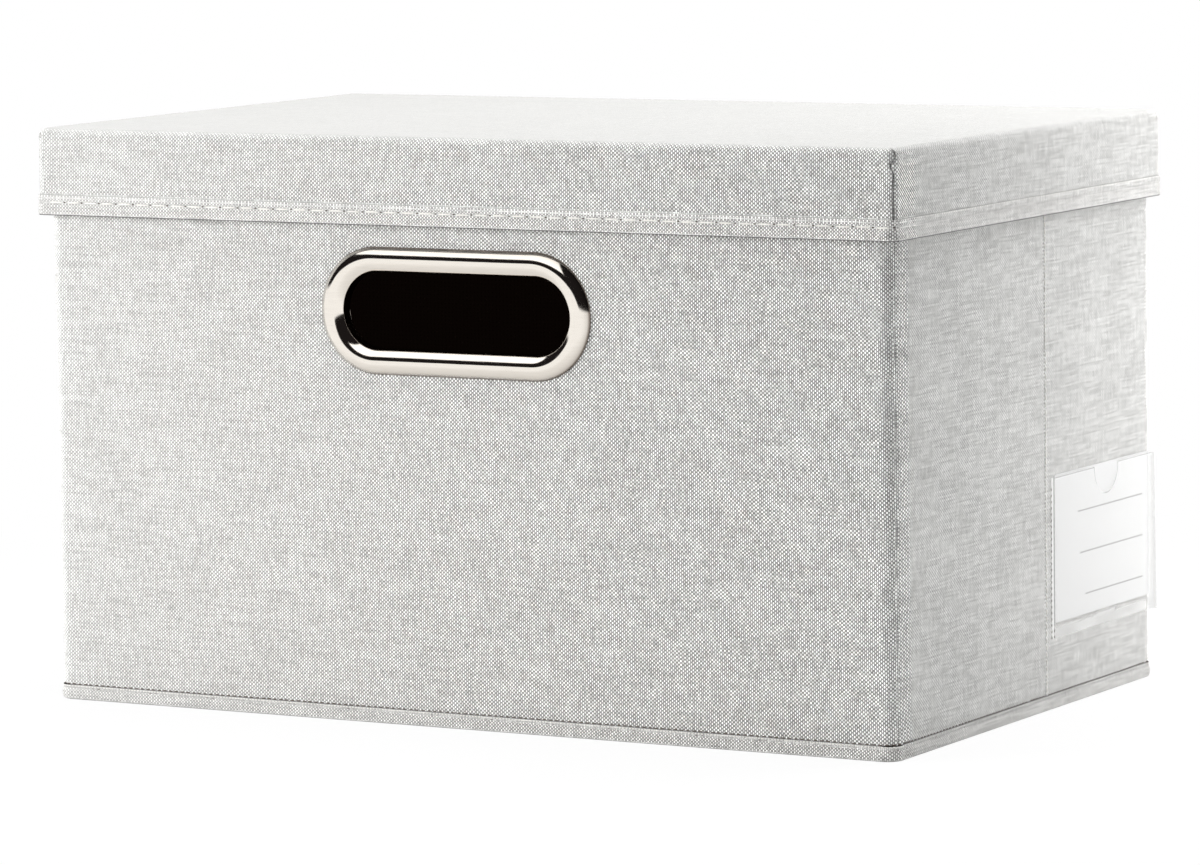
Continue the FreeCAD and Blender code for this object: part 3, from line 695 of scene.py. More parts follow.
# %% End walls
END_GRID = 3 * MM
FOLD_REACH = 6 * MM
FOLD_GRID = 0.5 * MM
HEIGHTS = even_steps(WALL_LOW, WALL_TOP, GRID)
STRIP_HEIGHTS = np.linspace(WALL_LOW, WALL_TOP, 25)
ENDS = {"right": 1, "left": -1}
CORNER_HINGES = {
    "right_rear": ("right", 1, ("back_wall", "right_rear_panel")),
    "right_front": ("right", -1, ("front_wall", "right_front_panel")),
    "left_rear": ("left", 1, ("back_wall", "left_rear_panel")),
}


def end_patch(side, low_y, high_y, heights, x, seed=None, spots=()):
    """An upright strip of an end wall between two depths, with ripples where a seed is given."""
    depths = fine_steps(low_y, high_y, END_GRID, spots, FOLD_REACH, FOLD_GRID)[::side]
    depth, height = np.meshgrid(depths, heights, indexing="ij")
    out = np.full(depth.shape, x)
    if seed is not None:
        edge = faded(depth, height, PIVOT_Y - HINGE_ROOM, heights[0], heights[-1])
        out = out + ripple(depth, height, seed) * edge * smooth_step((np.abs(depth) - 5 * MM) / (8 * MM))
    opened = STRIP_OPEN * np.clip(BEND_Y + depth, 0, STRIP)
    along = END_START - ARC + arc_weave(ARC) + depth - opened
    # Painted light on the end cloth near the corners.
    shade = corner_painted_light(BEND_Y + ARC - CORNER_LIGHT_PLACE - np.abs(depth))
    return patch(joined(out * side, depth, height), joined(along, height), shade)


def front_reach(end):
    """How far forward an end's cloth goes: to the hinge strip, or to the corner where there is none."""
    return PIVOT_Y - HINGE_ROOM if end == "right" else PIVOT_Y


def end_names(end, part):
    """The names of the rear and the front piece of an end wall."""
    return f"{end}_rear_{part}", f"{end}_front_{part}"


def fold_end(cloth, end, slot, part, x=HALF_X, room=CREASE_ROOM):
    """Bakes a cloth's place into its mesh and hides both halves of the CAD piece of its end wall."""
    x = x * ENDS[end]
    bend(cloth, end_names(end, "panel"), slot, (x, room, 0), (x, -room, 0), *end_names(end, part))


def hinge_places(half):
    """The depths at which a corner's hinge strip starts at the long wall and stops at the end wall."""
    return (PIVOT_Y + HINGE_ROOM) * half, (PIVOT_Y - HINGE_ROOM) * half


def bend_hinge(cloth, side, half, bodies, slot):
    """Bakes the place of a narrow strip at the pivot of its corner into its mesh."""
    near, far = hinge_places(half)
    bend(cloth, bodies, slot, (HALF_X * side, near, 0), (HALF_X * side, far, 0))


hinge_cloths = {"right": [], "left": []}
for name, (end, half, bodies) in CORNER_HINGES.items():
    side = ENDS[end]
    strip = end_patch(side, *sorted(hinge_places(half)), STRIP_HEIGHTS, HALF_X, None, (PIVOT_Y * half,))
    cloth = build(f"{name}_hinge_cloth", [strip], linen, CLOTH)
    bend_hinge(cloth, side, half, bodies, "linen")
    hinge_cloths[end].append(cloth)

for seed, (end, side) in enumerate(ENDS.items(), start=3):
    strip = end_patch(side, -front_reach(end), PIVOT_Y - HINGE_ROOM, HEIGHTS, HALF_X, seed, (0.0,))
    cloth = build(f"{end}_end_cloth", [strip], linen, CLOTH)
    fold_end(cloth, end, "linen", "linen")
    boards = list(end_names(end, "board"))
    print(cloth.name, len(cloth.data.polygons), "faces")

# %% [markdown]
# ## Lid cover
# The lid's linen is drawn over the top board and down the skirt. Its section is a line up the skirt and a
# quarter circle over the edge, carried round a rectangle with round corners. Inside the round edge the
# outline shrinks to the ridge line of a hipped roof, which keeps all points on the flat top. At each corner
# the cloth was cut and drawn together, so a slit with painted shade in it runs down the skirt and zigzags
# near the top. A painted shadow lies just above the hem band, and the cloth is painted paler by the corners.

# %% Outlines and sections
def rounded_outline(half_x, half_y, radius, step, corner_step, reach=2 * MM):
    """Anticlockwise outline of a rectangle with round corners, closed: places, outward directions and length.

    Each quarter is a straight run and then a quarter circle, with close points beside the corner. The last
    value is the length at which each corner's middle lies.
    """
    starts = [(radius - half_x, -half_y), (half_x, radius - half_y), (half_x - radius, half_y),
              (-half_x, half_y - radius)]
    headings = np.array([[1, 0], [0, 1], [-1, 0], [0, -1]], float)
    runs = [2 * (half_x - radius), 2 * (half_y - radius)] * 2
    arc = radius * math.pi / 2
    places, outs, lengths, corner_lengths = [], [], [], []
    total = 0.0
    for start, heading, run in zip(starts, headings, runs):
        out = np.array([heading[1], -heading[0]])
        length = fine_steps(0, run + arc, step, (run + arc / 2,), arc / 2 + reach, corner_step)
        last = None if len(places) == 3 else -1
        length = length[:last]
        angle = np.clip(length - run, 0, None) / radius
        turn = out * np.cos(angle)[:, None] + heading * np.sin(angle)[:, None]
        straight = heading * np.minimum(length, run)[:, None]
        places.append(np.array(start) + straight - out * radius + turn * radius)
        outs.append(turn)
        lengths.append(total + length)
        corner_lengths.append(total + run + arc / 2)
        total += run + arc
    return np.concatenate(places), np.concatenate(outs), np.concatenate(lengths), np.array(corner_lengths)


def carried(places, outs, section):
    """Carries a section of (outwards, height) pairs along an outline, which is the first direction."""
    plan = places[:, None, :] + outs[:, None, :] * section[None, :, :1]
    return joined(plan[..., 0], plan[..., 1], section[:, 1])


def section_length(section):
    """Length along a section from its first point to each of the others."""
    return np.concatenate([[0], np.cumsum(np.linalg.norm(np.diff(section, axis=0), axis=1))])


def quarter(centre, radius, start, stop, steps):
    """Points of an arc between two angles in degrees, the centre and radius in metres."""
    angle = np.radians(np.linspace(start, stop, steps))
    return joined(centre[0] + radius * np.cos(angle), centre[1] + radius * np.sin(angle))


def from_corners(length, corner_lengths):
    """Distance along an outline to the nearest corner's middle."""
    return np.min(np.abs(length[:, None] - corner_lengths[None, :]), axis=1)


def roofed(rim, half_x, half_y, rings):
    """Rings of points from a rim inwards to the ridge line of a hipped roof."""
    ridge = joined(np.clip(rim[:, 0], half_y - half_x, half_x - half_y), 0.0, rim[:, 2])
    share = np.linspace(0, 1, rings)[None, :, None]
    return rim[:, None, :] * (1 - share) + ridge[:, None, :] * share


print("a quarter circle in three points:", quarter((0, 0), 1, 0, 90, 3).round(3).tolist())

# %% Lid cover
lid_low, lid_high = corners("lid_linen")
LID_X, LID_Y = lid_high[:2]
LID_LOW, LID_TOP = lid_low[2], lid_high[2]
LID_CORNER = 4.0 * MM
LID_EDGE = 3.4 * MM
SLIT = 0.9 * MM
SLIT_WIDTH = 0.36 * MM
ZIGZAG = 1.25 * MM
ZIGZAG_START = 0.62
ZIGZAG_TURNS = 1.6
BULGE = 0.35 * MM
HEM_PAINTED_SHADOW = 0.38
FOLD_LINE = 0.4
FOLD_SHARE = 0.6
hem_low, hem_high = corners("lid_hem")
HEM_PROUD = hem_high[0] - LID_X
HEM_LOW, HEM_TOP = hem_low[2], hem_high[2]
HEM_SEWN = HEM_TOP - 3.0 * MM


def lid_slit(length, corner_lengths, heights):
    """Depth share of the slits: a bell across the slit's middle, which wanders to both sides near the top."""
    up = np.clip((heights - LID_LOW) / (LID_TOP - LID_LOW), 0, 1)
    turns = (up - ZIGZAG_START) / (1 - ZIGZAG_START) * ZIGZAG_TURNS
    wander = ZIGZAG * smooth_step((up - ZIGZAG_START) / 0.2) * np.sin(turns * math.tau)
    away = np.abs(length[:, None] - corner_lengths[None, :])
    nearest = corner_lengths[np.argmin(away, axis=1)]
    offset = (length - nearest)[:, None] - wander[None, :]
    width = SLIT_WIDTH * (0.55 + 0.45 * smooth_step((up - 0.5) / 0.3))
    starts = smooth_step((heights - LID_LOW - 1 * MM) / (4 * MM))
    ends = smooth_step((LID_TOP + 0.5 * MM - heights) / (2 * MM))
    return bump(offset, width[None, :]) * (starts * ends)[None, :]


def lid_cover_patches():
    """The skirt with its round edge, and the top, which sags a little between its edges."""
    places, outs, length, corner_lengths = rounded_outline(LID_X, LID_Y, LID_CORNER, GRID, 0.13 * MM)
    rise = fine_steps(LID_LOW, LID_TOP - LID_EDGE, 1 * MM, (HEM_TOP,), 1.4 * MM, 0.2 * MM)
    edge = quarter((-LID_EDGE, LID_TOP - LID_EDGE), LID_EDGE, 0, 90, 19)
    section = np.concatenate([joined(0.0, rise), edge[1:]])
    points = carried(places, outs, section)
    height = section[:, 1]
    slit = lid_slit(length, corner_lengths, height)
    # Painted shadow of the hem band's top edge on the skirt.
    hem_shadow = HEM_PAINTED_SHADOW * bump(height - HEM_TOP - 0.2 * MM, 0.28 * MM)
    fold = FOLD_LINE * bump(section[:, 0] + LID_EDGE * FOLD_SHARE, 0.24 * MM) * (height > LID_TOP - LID_EDGE)
    # Painted shade in the slits, and painted light beside the corners.
    shade = np.clip(1.5 * slit, 0, 1) + corner_painted_light(from_corners(length, corner_lengths))[:, None]
    shade += hem_shadow[None, :] + fold[None, :] * np.clip(-outs[:, 1], 0, 1)[:, None]
    bulge = BULGE * np.sin(np.clip((height - LID_LOW) / (LID_TOP - LID_LOW), 0, 1) * math.pi)
    wave = 0.5 + 0.5 * np.sin(length / (37 * MM) + 0.6)
    inward = slit * SLIT - bulge[None, :] * wave[:, None]
    points[..., :2] -= outs[:, None, :] * inward[..., None]
    top = roofed(points[:, -1, :], LID_X, LID_Y, 26)
    sag = ripple(top[..., 0], top[..., 1], 7) * faded(top[..., 0], top[..., 1], LID_X, -LID_Y, LID_Y, 20 * MM)
    top[..., 2] -= sag * 0.5
    return [patch(points, crossed(length, section_length(section)), shade), patch(top, top[..., :2].copy())]


lid_cover = build("lid_cover", lid_cover_patches(), linen, CLOTH)
dress(lid_cover, "lid", "linen", "lid_linen")
print("lid cover", len(lid_cover.data.polygons), "faces")

# %% [markdown]
# ## Hem band of the lid
# A strip of the same linen is folded round the skirt's lower edge and sewn. Its section has a thin rolled
# ridge on top, a shallow groove where the thread pulls it in, a flat belly and a rounded fold at the bottom
# that turns under the skirt. The section is carried round the lid's outline. Painted shade darkens the
# groove, a line under the ridge and the lower edge, and painted highlights run along the ridge and the fold.

# %% Hem band
HEM_CLOTH = 0.3 * MM
JOIN_SHADE = 0.35


def hem_section():
    """Section of the band as (outwards, height), from inside the skirt round under it to the ridge."""
    under = corners("lid_lining")[0][0] + LID_X
    inner = [[-under - 0.1 * MM, HEM_LOW + 0.35 * MM], [-under, HEM_LOW + 0.1 * MM], [-1 * MM, HEM_LOW]]
    fold = quarter((HEM_PROUD - 0.7 * MM, HEM_LOW + 0.7 * MM), 0.7 * MM, -90, 0, 7)
    rise = np.linspace(HEM_LOW + 1.0 * MM, HEM_TOP - 0.7 * MM, 22)
    hollow = 0.06 * MM * (1 - np.cos((rise - HEM_LOW) / (HEM_TOP - HEM_LOW) * math.tau))
    belly = joined(HEM_PROUD - hollow - 0.34 * MM * bump(rise - HEM_SEWN, 0.55 * MM), rise)
    roll = quarter((HEM_PROUD - 0.45 * MM, HEM_TOP - 0.42 * MM), 0.42 * MM, 0, 150, 8)
    return np.concatenate([inner, fold, belly, roll, [[0.05 * MM, HEM_TOP - 0.5 * MM]]])


def hem_patch(places, outs, length, join_lengths):
    """Carries the band's section round an outline, with a faint line across it at each join."""
    section = hem_section()
    height = section[:, 1]
    points = carried(places, outs, section)
    join = JOIN_SHADE * bump(from_corners(length, join_lengths), 0.3 * MM)[:, None]
    points[..., :2] -= outs[:, None, :] * (join * 0.4 * MM)[..., None]
    # Painted shade in the sewn groove, under the ridge and along the lower edge; painted highlights on the
    # ridge and the fold.
    groove = 0.3 * bump(height - HEM_SEWN, 0.4 * MM) + 0.3 * bump(height - HEM_TOP + 1.0 * MM, 0.2 * MM)
    groove += bump(height - HEM_LOW - 0.1 * MM, 0.45 * MM)
    lip = 0.2 * bump(height - HEM_TOP + 0.3 * MM, 0.35 * MM)
    lip += 0.12 * bump(height - HEM_LOW - 0.9 * MM, 0.4 * MM)
    shade = join + ((groove - lip) * (section[:, 0] > 0))[None, :]
    return patch(points, crossed(length, section_length(section)), shade)


places, outs, length, corner_lengths = rounded_outline(LID_X, LID_Y, LID_CORNER, 3 * MM, 0.2 * MM)
band = hem_patch(places, outs, length, corner_lengths + 1.6 * MM)
hem = build("lid_hem_band", [band], binding_linen, HEM_CLOTH)
dress(hem, "lid", "linen", "lid_hem")
print("hem band", len(hem.data.polygons), "faces")

# %% [markdown]
# ## Stitches
# A stitch is a short thread that comes out of the cloth, lies on it and goes in again. One stitch is a
# small tube whose middle line is a flat arch. All the stitches of a row are worked out at once: the tube's
# points are placed by a start, a direction along the seam and one outwards, each an array with an entry for
# each stitch. Between the stitches of the lid's hem, dark spots of painted shade stand in the needle's holes.
# On its ends the thread has sunk into the cloth, so it hardly shows there.

# %% Stitch rows
STITCH_SIDES = 6
STITCH_STEPS = 7
HEM_STITCH = 6.5 * MM
HEM_PITCH = 8.7 * MM
END_SUNK = 0.75 * MM
chance = np.random.default_rng(7)


def stitch_row(name, lines, outs, radius, lift, material):
    """A row of stitches: tubes that taper to a point at both ends and arch out of the cloth.

    lines holds the points along each stitch on the cloth, and outs the directions outwards there. The radius
    and the height above the cloth both follow a half ellipse from end to end.
    """
    share = np.linspace(0, 1, lines.shape[1])
    arch = np.sqrt(1 - (2 * share - 1) ** 2)
    angle = np.linspace(0, math.tau, STITCH_SIDES + 1)
    along = np.gradient(lines, axis=1)
    along /= np.linalg.norm(along, axis=-1, keepdims=True)
    across = np.cross(outs, along)
    middle = lines + outs * (arch * lift)[None, :, None]
    ring = across[:, :, None, :] * np.cos(angle)[:, None] + outs[:, :, None, :] * np.sin(angle)[:, None]
    points = middle[:, :, None, :] + ring * (arch**0.6 * radius)[None, :, None, None]
    length = np.linalg.norm(lines[:, -1] - lines[:, 0], axis=-1)
    weave = joined((share * length[:, None])[:, :, None], angle * radius)
    return build(name, [patch(points, weave)], material)


def lines_along(places, outs, length, pitch, long, start=0.0, loose=0.0):
    """Lines of stitches a pitch apart that follow an outline in plan, and their directions outwards."""
    starts = np.arange(start, length[-1] - long, pitch)
    starts = starts + chance.uniform(-loose, loose, len(starts))
    at = starts[:, None] + np.linspace(0, long, STITCH_STEPS)[None, :]
    plan = joined(np.interp(at, length, places[:, 0]), np.interp(at, length, places[:, 1]), 0.0)
    out = joined(np.interp(at, length, outs[:, 0]), np.interp(at, length, outs[:, 1]), 0.0)
    return plan, out / np.linalg.norm(out, axis=-1, keepdims=True)


def lifted(lines, outs, out_by, height, loose):
    """Moves lines of stitches outwards and up to their height, each a little off by chance."""
    off = chance.uniform(-loose, loose, (len(lines), 1, 1))
    return lines + outs * out_by + np.array([0, 0, 1.0]) * (height + off)


lines, directions = lines_along(places, outs, length, HEM_PITCH, HEM_STITCH, 3 * MM, 0.25 * MM)
lines = lifted(lines, directions, HEM_PROUD - 0.28 * MM, HEM_SEWN, 0.12 * MM)
on_end = np.abs(directions[:, :, :1]) > 0.5
lines = lines - directions * on_end * END_SUNK
hem_stitches = stitch_row("lid_hem_stitches", lines, directions, 0.34 * MM, 0.22 * MM, pale_thread)
dress(hem_stitches, "lid", "linen")
holes_start = 3.5 * MM + HEM_STITCH
lines, directions = lines_along(places, outs, length, HEM_PITCH, 1.1 * MM, holes_start, 0.2 * MM)
long_sides = np.abs(directions[:, 0, 1]) > 0.7
lines, directions = lines[long_sides], directions[long_sides]
lines = lifted(lines, directions, HEM_PROUD - 0.42 * MM, HEM_SEWN, 0.12 * MM)
# Dark spots of painted shade in the needle's holes between the hem's stitches.
hem_hole_shades = stitch_row("lid_hem_painted_hole_shades", lines, directions, 0.36 * MM, 0.02 * MM, hole_shadow)
dress(hem_hole_shades, "lid", "linen")
print("needle holes of the hem", len(lines))

# %% [markdown]
# ## Foot binding
# The box's lower edge is bound like the lid, but narrower, and a cord is sewn in along the binding's top.
# So its section is a fine cord, a groove, a belly and a rounded lower edge that turns under the wall. The
# long walls carry it round their corners, and at each end it runs across the crease and has strips of its
# own at the hinges, as the linen does. On the long walls short stitches go over the cord, and dark dashes
# of painted shade above and below it stand in the gaps where the thread pulls the cloth in.

# %% Foot binding
foot_low, foot_high = corners("right_rear_foot_binding")
FOOT_PROUD = foot_high[0] - HALF_X
FOOT_TOP = foot_high[2]
FOOT_INNER = INNER_X - HALF_X
FOOT_CLOTH = 0.3 * MM
FOOT_GRID = 1.5 * MM
CORD = 0.62 * MM
FOOT_DASH = 2.1 * MM
FOOT_PITCH = 2.9 * MM
PUCKER = 0.12 * MM
CORNER_SWELL = 0.45 * MM
CORNER_GAP_SHADE = 0.9


def foot_section():
    """Section of the foot binding as (outwards, height), from under the wall up to the sewn cord."""
    sole = [[FOOT_INNER, 0.25 * MM], [FOOT_INNER + 0.3 * MM, 0.05 * MM], [-1.2 * MM, 0.0]]
    fold = quarter((FOOT_PROUD - 1.0 * MM, 1.0 * MM), 1.0 * MM, -90, 0, 8)
    share = np.linspace(0, 1, 9)
    belly_top = FOOT_TOP - 2 * CORD - 0.3 * MM
    belly = joined(FOOT_PROUD - 0.5 * MM * share**3, 1.4 * MM + (belly_top - 1.4 * MM) * share)
    cord = quarter((0.1 * MM, FOOT_TOP - CORD), CORD, -60, 120, 10)
    return np.concatenate([sole, fold, belly, cord, [[-0.25 * MM, FOOT_TOP + 0.1 * MM]]])


FOOT_SECTION = foot_section()
# Painted shade: dark lines below and above the cord and along the bottom edge.
FOOT_SHADE = (
    0.5 * bump(FOOT_SECTION[:, 1] - FOOT_TOP + 2 * CORD + 0.12 * MM, 0.25 * MM)
    + 0.95 * bump(FOOT_SECTION[:, 1] - FOOT_TOP - 0.06 * MM, 0.38 * MM)
    + 0.45 * bump(FOOT_SECTION[:, 1], 0.5 * MM)
)


def foot_patch(places, outs, along):
    """The binding along a plan, with small puckers along its belly and a swelling at each corner."""
    points = carried(places, outs, FOOT_SECTION)
    level = np.clip(FOOT_SECTION[:, 1] / FOOT_TOP, 0, 1)
    pucker = np.sin(along / (3.1 * MM)) * np.sin(along / (7.7 * MM) + 1)
    turning = 2 * np.abs(outs[:, 0] * outs[:, 1])[:, None]
    swell = (PUCKER * pucker[:, None] + CORNER_SWELL * turning) * np.sin(level * math.pi)[None, :]
    points[..., :2] += outs[:, None, :] * swell[..., None]
    # Painted shade in the gap above the cord where the binding swells round a corner.
    gap = CORNER_GAP_SHADE * bump(FOOT_SECTION[:, 1] - FOOT_TOP, 0.7 * MM)
    shade = FOOT_SHADE[None, :] + turning * gap[None, :]
    return patch(points, crossed(along, section_length(FOOT_SECTION)), shade)


def front_plan(left_end, right_end, step=FOOT_GRID):
    """Plan of the front wall from its left end, round both corners, to its right end."""
    left, right = BEND_Y - left_end, BEND_Y - right_end
    total = 2 * (BEND_X + ARC) + left + right
    length = fine_steps(0, total, step, (left + ARC / 2, total - right - ARC / 2), 3 * MM, 0.25 * MM)
    first = np.clip(length, 0, left)
    first_turn = np.clip((length - left) / BEND, 0, math.pi / 2)
    across = np.clip(length - left - ARC, 0, 2 * BEND_X)
    last_turn = np.clip((length - left - ARC - 2 * BEND_X) / BEND, 0, math.pi / 2)
    last = np.clip(length - left - 2 * ARC - 2 * BEND_X, 0, None)
    x = -BEND_X - BEND * np.cos(first_turn) + across + BEND * np.sin(last_turn)
    y = -left_end - first - BEND * np.sin(first_turn) + BEND * (1 - np.cos(last_turn)) + last
    turn = first_turn + last_turn
    return joined(x, y), joined(-np.cos(turn), -np.sin(turn)), length


def end_plan(side, low_y, high_y, spots, coarse=FOOT_GRID):
    """Plan along an end wall, anticlockwise, with the directions outwards and the length."""
    depth = fine_steps(low_y, high_y, coarse, spots, FOLD_REACH, FOLD_GRID)[::side]
    return joined(HALF_X * side, depth), joined(float(side), 0.0 * depth), np.abs(depth - depth[0])


def foot_stitches(name, plan, body, over_cord=True):
    """Short stitches over the cord, and dark dashes of painted shade above and below it where the thread
    pulls in.
    """
    if over_cord:
        lines, directions = lines_along(*plan, FOOT_PITCH / 2, 1.2 * MM, 0.3 * MM, 0.1 * MM)
        lines = lifted(lines, directions, 0.1 * MM + CORD, FOOT_TOP - CORD, 0.05 * MM)
        dress(stitch_row(name, lines, directions, 0.24 * MM, 0.1 * MM, pale_thread), body, "binding")
    gaps = {
        "gaps": (0.2 * MM, 0.0, FOOT_TOP + 0.12 * MM, 0.36 * MM),
        "lower_gaps": (1.4 * MM, 0.12 * MM, FOOT_TOP - 2 * CORD - 0.12 * MM, 0.24 * MM),
    }
    for kind, (start, out_by, height, radius) in gaps.items():
        lines, directions = lines_along(*plan, FOOT_PITCH, FOOT_DASH, start, 0.2 * MM)
        lines = lifted(lines, directions, out_by, height, 0.05 * MM)
        dress(stitch_row(f"{name}_{kind}", lines, directions, radius, 0.0, hole_shadow), body, "binding")


for wall, (sign, right_end, left_end) in WALLS.items():
    plan, plan_outs, length = front_plan(left_end, right_end)
    plan, plan_outs = plan * sign, plan_outs * sign
    binding = build(f"{wall}_foot_band", [foot_patch(plan, plan_outs, length)], binding_linen, FOOT_CLOTH)
    dress(binding, f"{wall}_wall", "binding", f"{wall}_foot_binding")
    foot_stitches(f"{wall}_foot_stitches", (plan, plan_outs, length), f"{wall}_wall")
    print(binding.name, len(binding.data.polygons), "faces")

for end, side in ENDS.items():
    plan = end_plan(side, -front_reach(end), PIVOT_Y - HINGE_ROOM, (0.0,))
    binding = build(f"{end}_foot_band", [foot_patch(*plan)], binding_linen, FOOT_CLOTH)
    fold_end(binding, end, "binding", "foot_binding")
    for half, low_y, high_y in (("rear", 1 * MM, PIVOT_Y), ("front", -PIVOT_Y, -1 * MM)):
        plan = end_plan(side, low_y, high_y, ())
        foot_stitches(f"{end}_{half}_foot_stitches", plan, f"{end}_{half}_panel", False)

for name, (end, half, bodies) in CORNER_HINGES.items():
    plan = end_plan(ENDS[end], *sorted(hinge_places(half)), (PIVOT_Y * half,))
    binding = build(f"{name}_hinge_foot", [foot_patch(*plan)], binding_linen, FOOT_CLOTH)
    bend_hinge(binding, ENDS[end], half, bodies, "binding")

# %% [markdown]
# ## Rim tape
# The walls' upper edge, which the lid hides, is bound with a twill tape folded over it. Its section is two
# legs and a bridge with soft corners, and it follows the same plans as the foot binding.

# %% Rim tape
rim_low, rim_high = corners("right_rear_rim_tape")
RIM_LOW, RIM_TOP = rim_low[2], rim_high[2]
RIM_IN, RIM_OUT = rim_low[0] - HALF_X, rim_high[0] - HALF_X
RIM_SOFT = 0.8 * MM
TAPE = 0.4 * MM


def rim_section():
    """Section of the tape from the foot of its outer leg over the edge to the foot of its inner leg."""
    leg = np.linspace(RIM_LOW, RIM_TOP - 1.2 * MM, 6)
    outer = quarter((RIM_OUT - RIM_SOFT, RIM_TOP - RIM_SOFT), RIM_SOFT, 0, 90, 6)
    inner = quarter((RIM_IN + RIM_SOFT, RIM_TOP - RIM_SOFT), RIM_SOFT, 90, 180, 6)
    return np.concatenate([joined(RIM_OUT, leg), outer, inner, joined(RIM_IN, leg[::-1])])


def rim_patch(plan, outs, along):
    """The tape along a plan."""
    section = rim_section()
    return patch(carried(plan, outs, section), crossed(along, section_length(section)))


for wall, (sign, _, _) in WALLS.items():
    plan, _, length = front_plan(BEND_Y, BEND_Y, GRID)
    inside = np.abs(plan[:, 0]) <= BEND_X + MERGE
    plan = joined(plan[inside, 0], -HALF_Y)
    outs_along = joined(0.0 * plan[:, 0], -1.0)
    rim = rim_patch(plan * sign, outs_along * sign, length[inside])
    tape = build(f"{wall}_rim_band", [rim], binding_linen, TAPE)
    dress(tape, f"{wall}_wall", "binding", f"{wall}_rim_tape")
for end, side in ENDS.items():
    rim = rim_patch(*end_plan(side, -PIVOT_Y, PIVOT_Y, (0.0,), GRID))
    tape = build(f"{end}_rim_band", [rim], binding_linen, TAPE)
    fold_end(tape, end, "binding", "rim_tape")
print("rim tape", len(tape.data.polygons), "faces at an end")

# %% [markdown]
# ## Seam of the end walls
# Where two widths of linen are sewn together, a narrow ridge stands proud, with a row of small pale
# stitches down its middle. The ridge is a half-round strip whose height wavers a little, because the cloth
# is drawn in by each stitch.

# %% End seams
SEAM_HOLES = 1.5 * MM


def seam_patch(side, low, high):
    """A ridge up the end wall: a half sine across, with needle holes as spots of painted shade along one
    side.
    """
    heights = np.arange(low[2], high[2], 0.3 * MM)
    across = np.linspace(low[1], high[1], 15)[::side]
    across_grid, height_grid = np.meshgrid(across, heights, indexing="ij")
    share = (across_grid - low[1]) / (high[1] - low[1])
    proud = (0.38 + 0.05 * np.sin(height_grid / (3 * MM) * math.tau)) * MM
    out = HALF_X - 0.02 * MM + np.sin(share * math.pi) ** 0.8 * proud
    spots = np.clip(np.sin(height_grid / SEAM_HOLES * math.tau), 0, 1)
    # Painted shade spots for the needle holes along one side, and a painted highlight down the ridge's
    # middle.
    shade = bump(share - 0.9, 0.12) * (0.08 + 0.6 * spots) - 0.3 * bump(share - 0.45, 0.26)
    points = joined(out * side, across_grid, height_grid)
    return patch(points, joined(END_START + across_grid, height_grid), shade)


def upright_lines(x, depth, low, high, pitch, long, loose=0.0):
    """Lines of stitches that go up an end wall at one depth, with their directions outwards."""
    starts = np.arange(low, high - long, pitch)
    height = starts[:, None] + np.linspace(0, long, STITCH_STEPS)[None, :]
    off = chance.uniform(-loose, loose, (len(starts), 1))
    lines = joined(x, depth + off, height)
    return lines, np.broadcast_to([math.copysign(1.0, x), 0.0, 0.0], lines.shape)


for end, side in ENDS.items():
    low, high = corners(f"{end}_end_seam")
    ridge = build(f"{end}_seam_ridge", [seam_patch(side, low, high)], linen, 0.05 * MM)
    dress(ridge, f"{end}_rear_panel", "linen", f"{end}_end_seam")
    x = (HALF_X + 0.3 * MM) * side
    middle = low[1] + (high[1] - low[1]) * 0.45
    lines, directions = upright_lines(x, middle, low[2] + 1 * MM, high[2], 3 * MM, 2.6 * MM, 0.06 * MM)
    row = stitch_row(f"{end}_seam_stitches", lines, directions, 0.36 * MM, 0.12 * MM, pale_thread)
    dress(row, f"{end}_rear_panel", "linen")
    print(row.name, len(lines), "stitches")

# %% [markdown]
# ## Eyelet and washer
# The handle is an oval pressed ring. Its section is a dome that starts steeply at the linen, is highest a
# little inside its middle and rolls over into a collar, which goes through the wall and is spread over the
# washer. The section is carried round an oval of two straights and two half circles. All its corners are
# round, because a polished edge shows best in its reflections.

# %% Eyelet
DOME = -HALF_Y - eyelet_low[1]
CROWN_SOFT = 0.08
WALL_BACK = INNER_Y - HALF_Y
LIP = 0.6 * MM
RIM_PAINTED_SHADE = 0.85


def oval_outline(straight_steps=14, turn_steps=44):
    """Closed oval line in x and z on which the section turns, anticlockwise, with its directions outwards."""
    level = np.linspace(-OVAL_TURN, OVAL_TURN, straight_steps)
    right = np.linspace(-math.pi / 2, math.pi / 2, turn_steps)
    ends = np.full(turn_steps, OVAL_TURN)
    upward = np.full(straight_steps, math.pi / 2)
    turn = np.concatenate([-upward, right, upward, right + math.pi])
    across = np.concatenate([level, ends, level[::-1], -ends])
    return joined(across, OVAL_Z), joined(np.cos(turn), np.sin(turn))


def oval_sweep(section, name, sign):
    """Carries a section of (distance from the core line, height off the linen) round the oval."""
    centre, out = oval_outline()
    places = centre[:, None, :] + out[:, None, :] * section[None, :, :1]
    points = joined(places[..., 0], -HALF_Y - section[:, 1], places[..., 1])
    length = section_length(centre + out * OVAL_HIGH)
    # Painted shade and reflection: the ring is darker and browner at its outer edge and at the dome's inner
    # edge.
    from_rim = section[:, 0] - OVAL_HIGH
    rim = bump(from_rim, 0.5 * MM) + 0.45 * bump(from_rim, 1.5 * MM) + bump(from_rim + RIM, 0.2 * MM)
    shade = np.clip(rim, 0, 1) * RIM_PAINTED_SHADE
    ring = patch(turned(points, sign), crossed(length, section_length(section)), shade)
    return build(name, [ring], polished_metal)


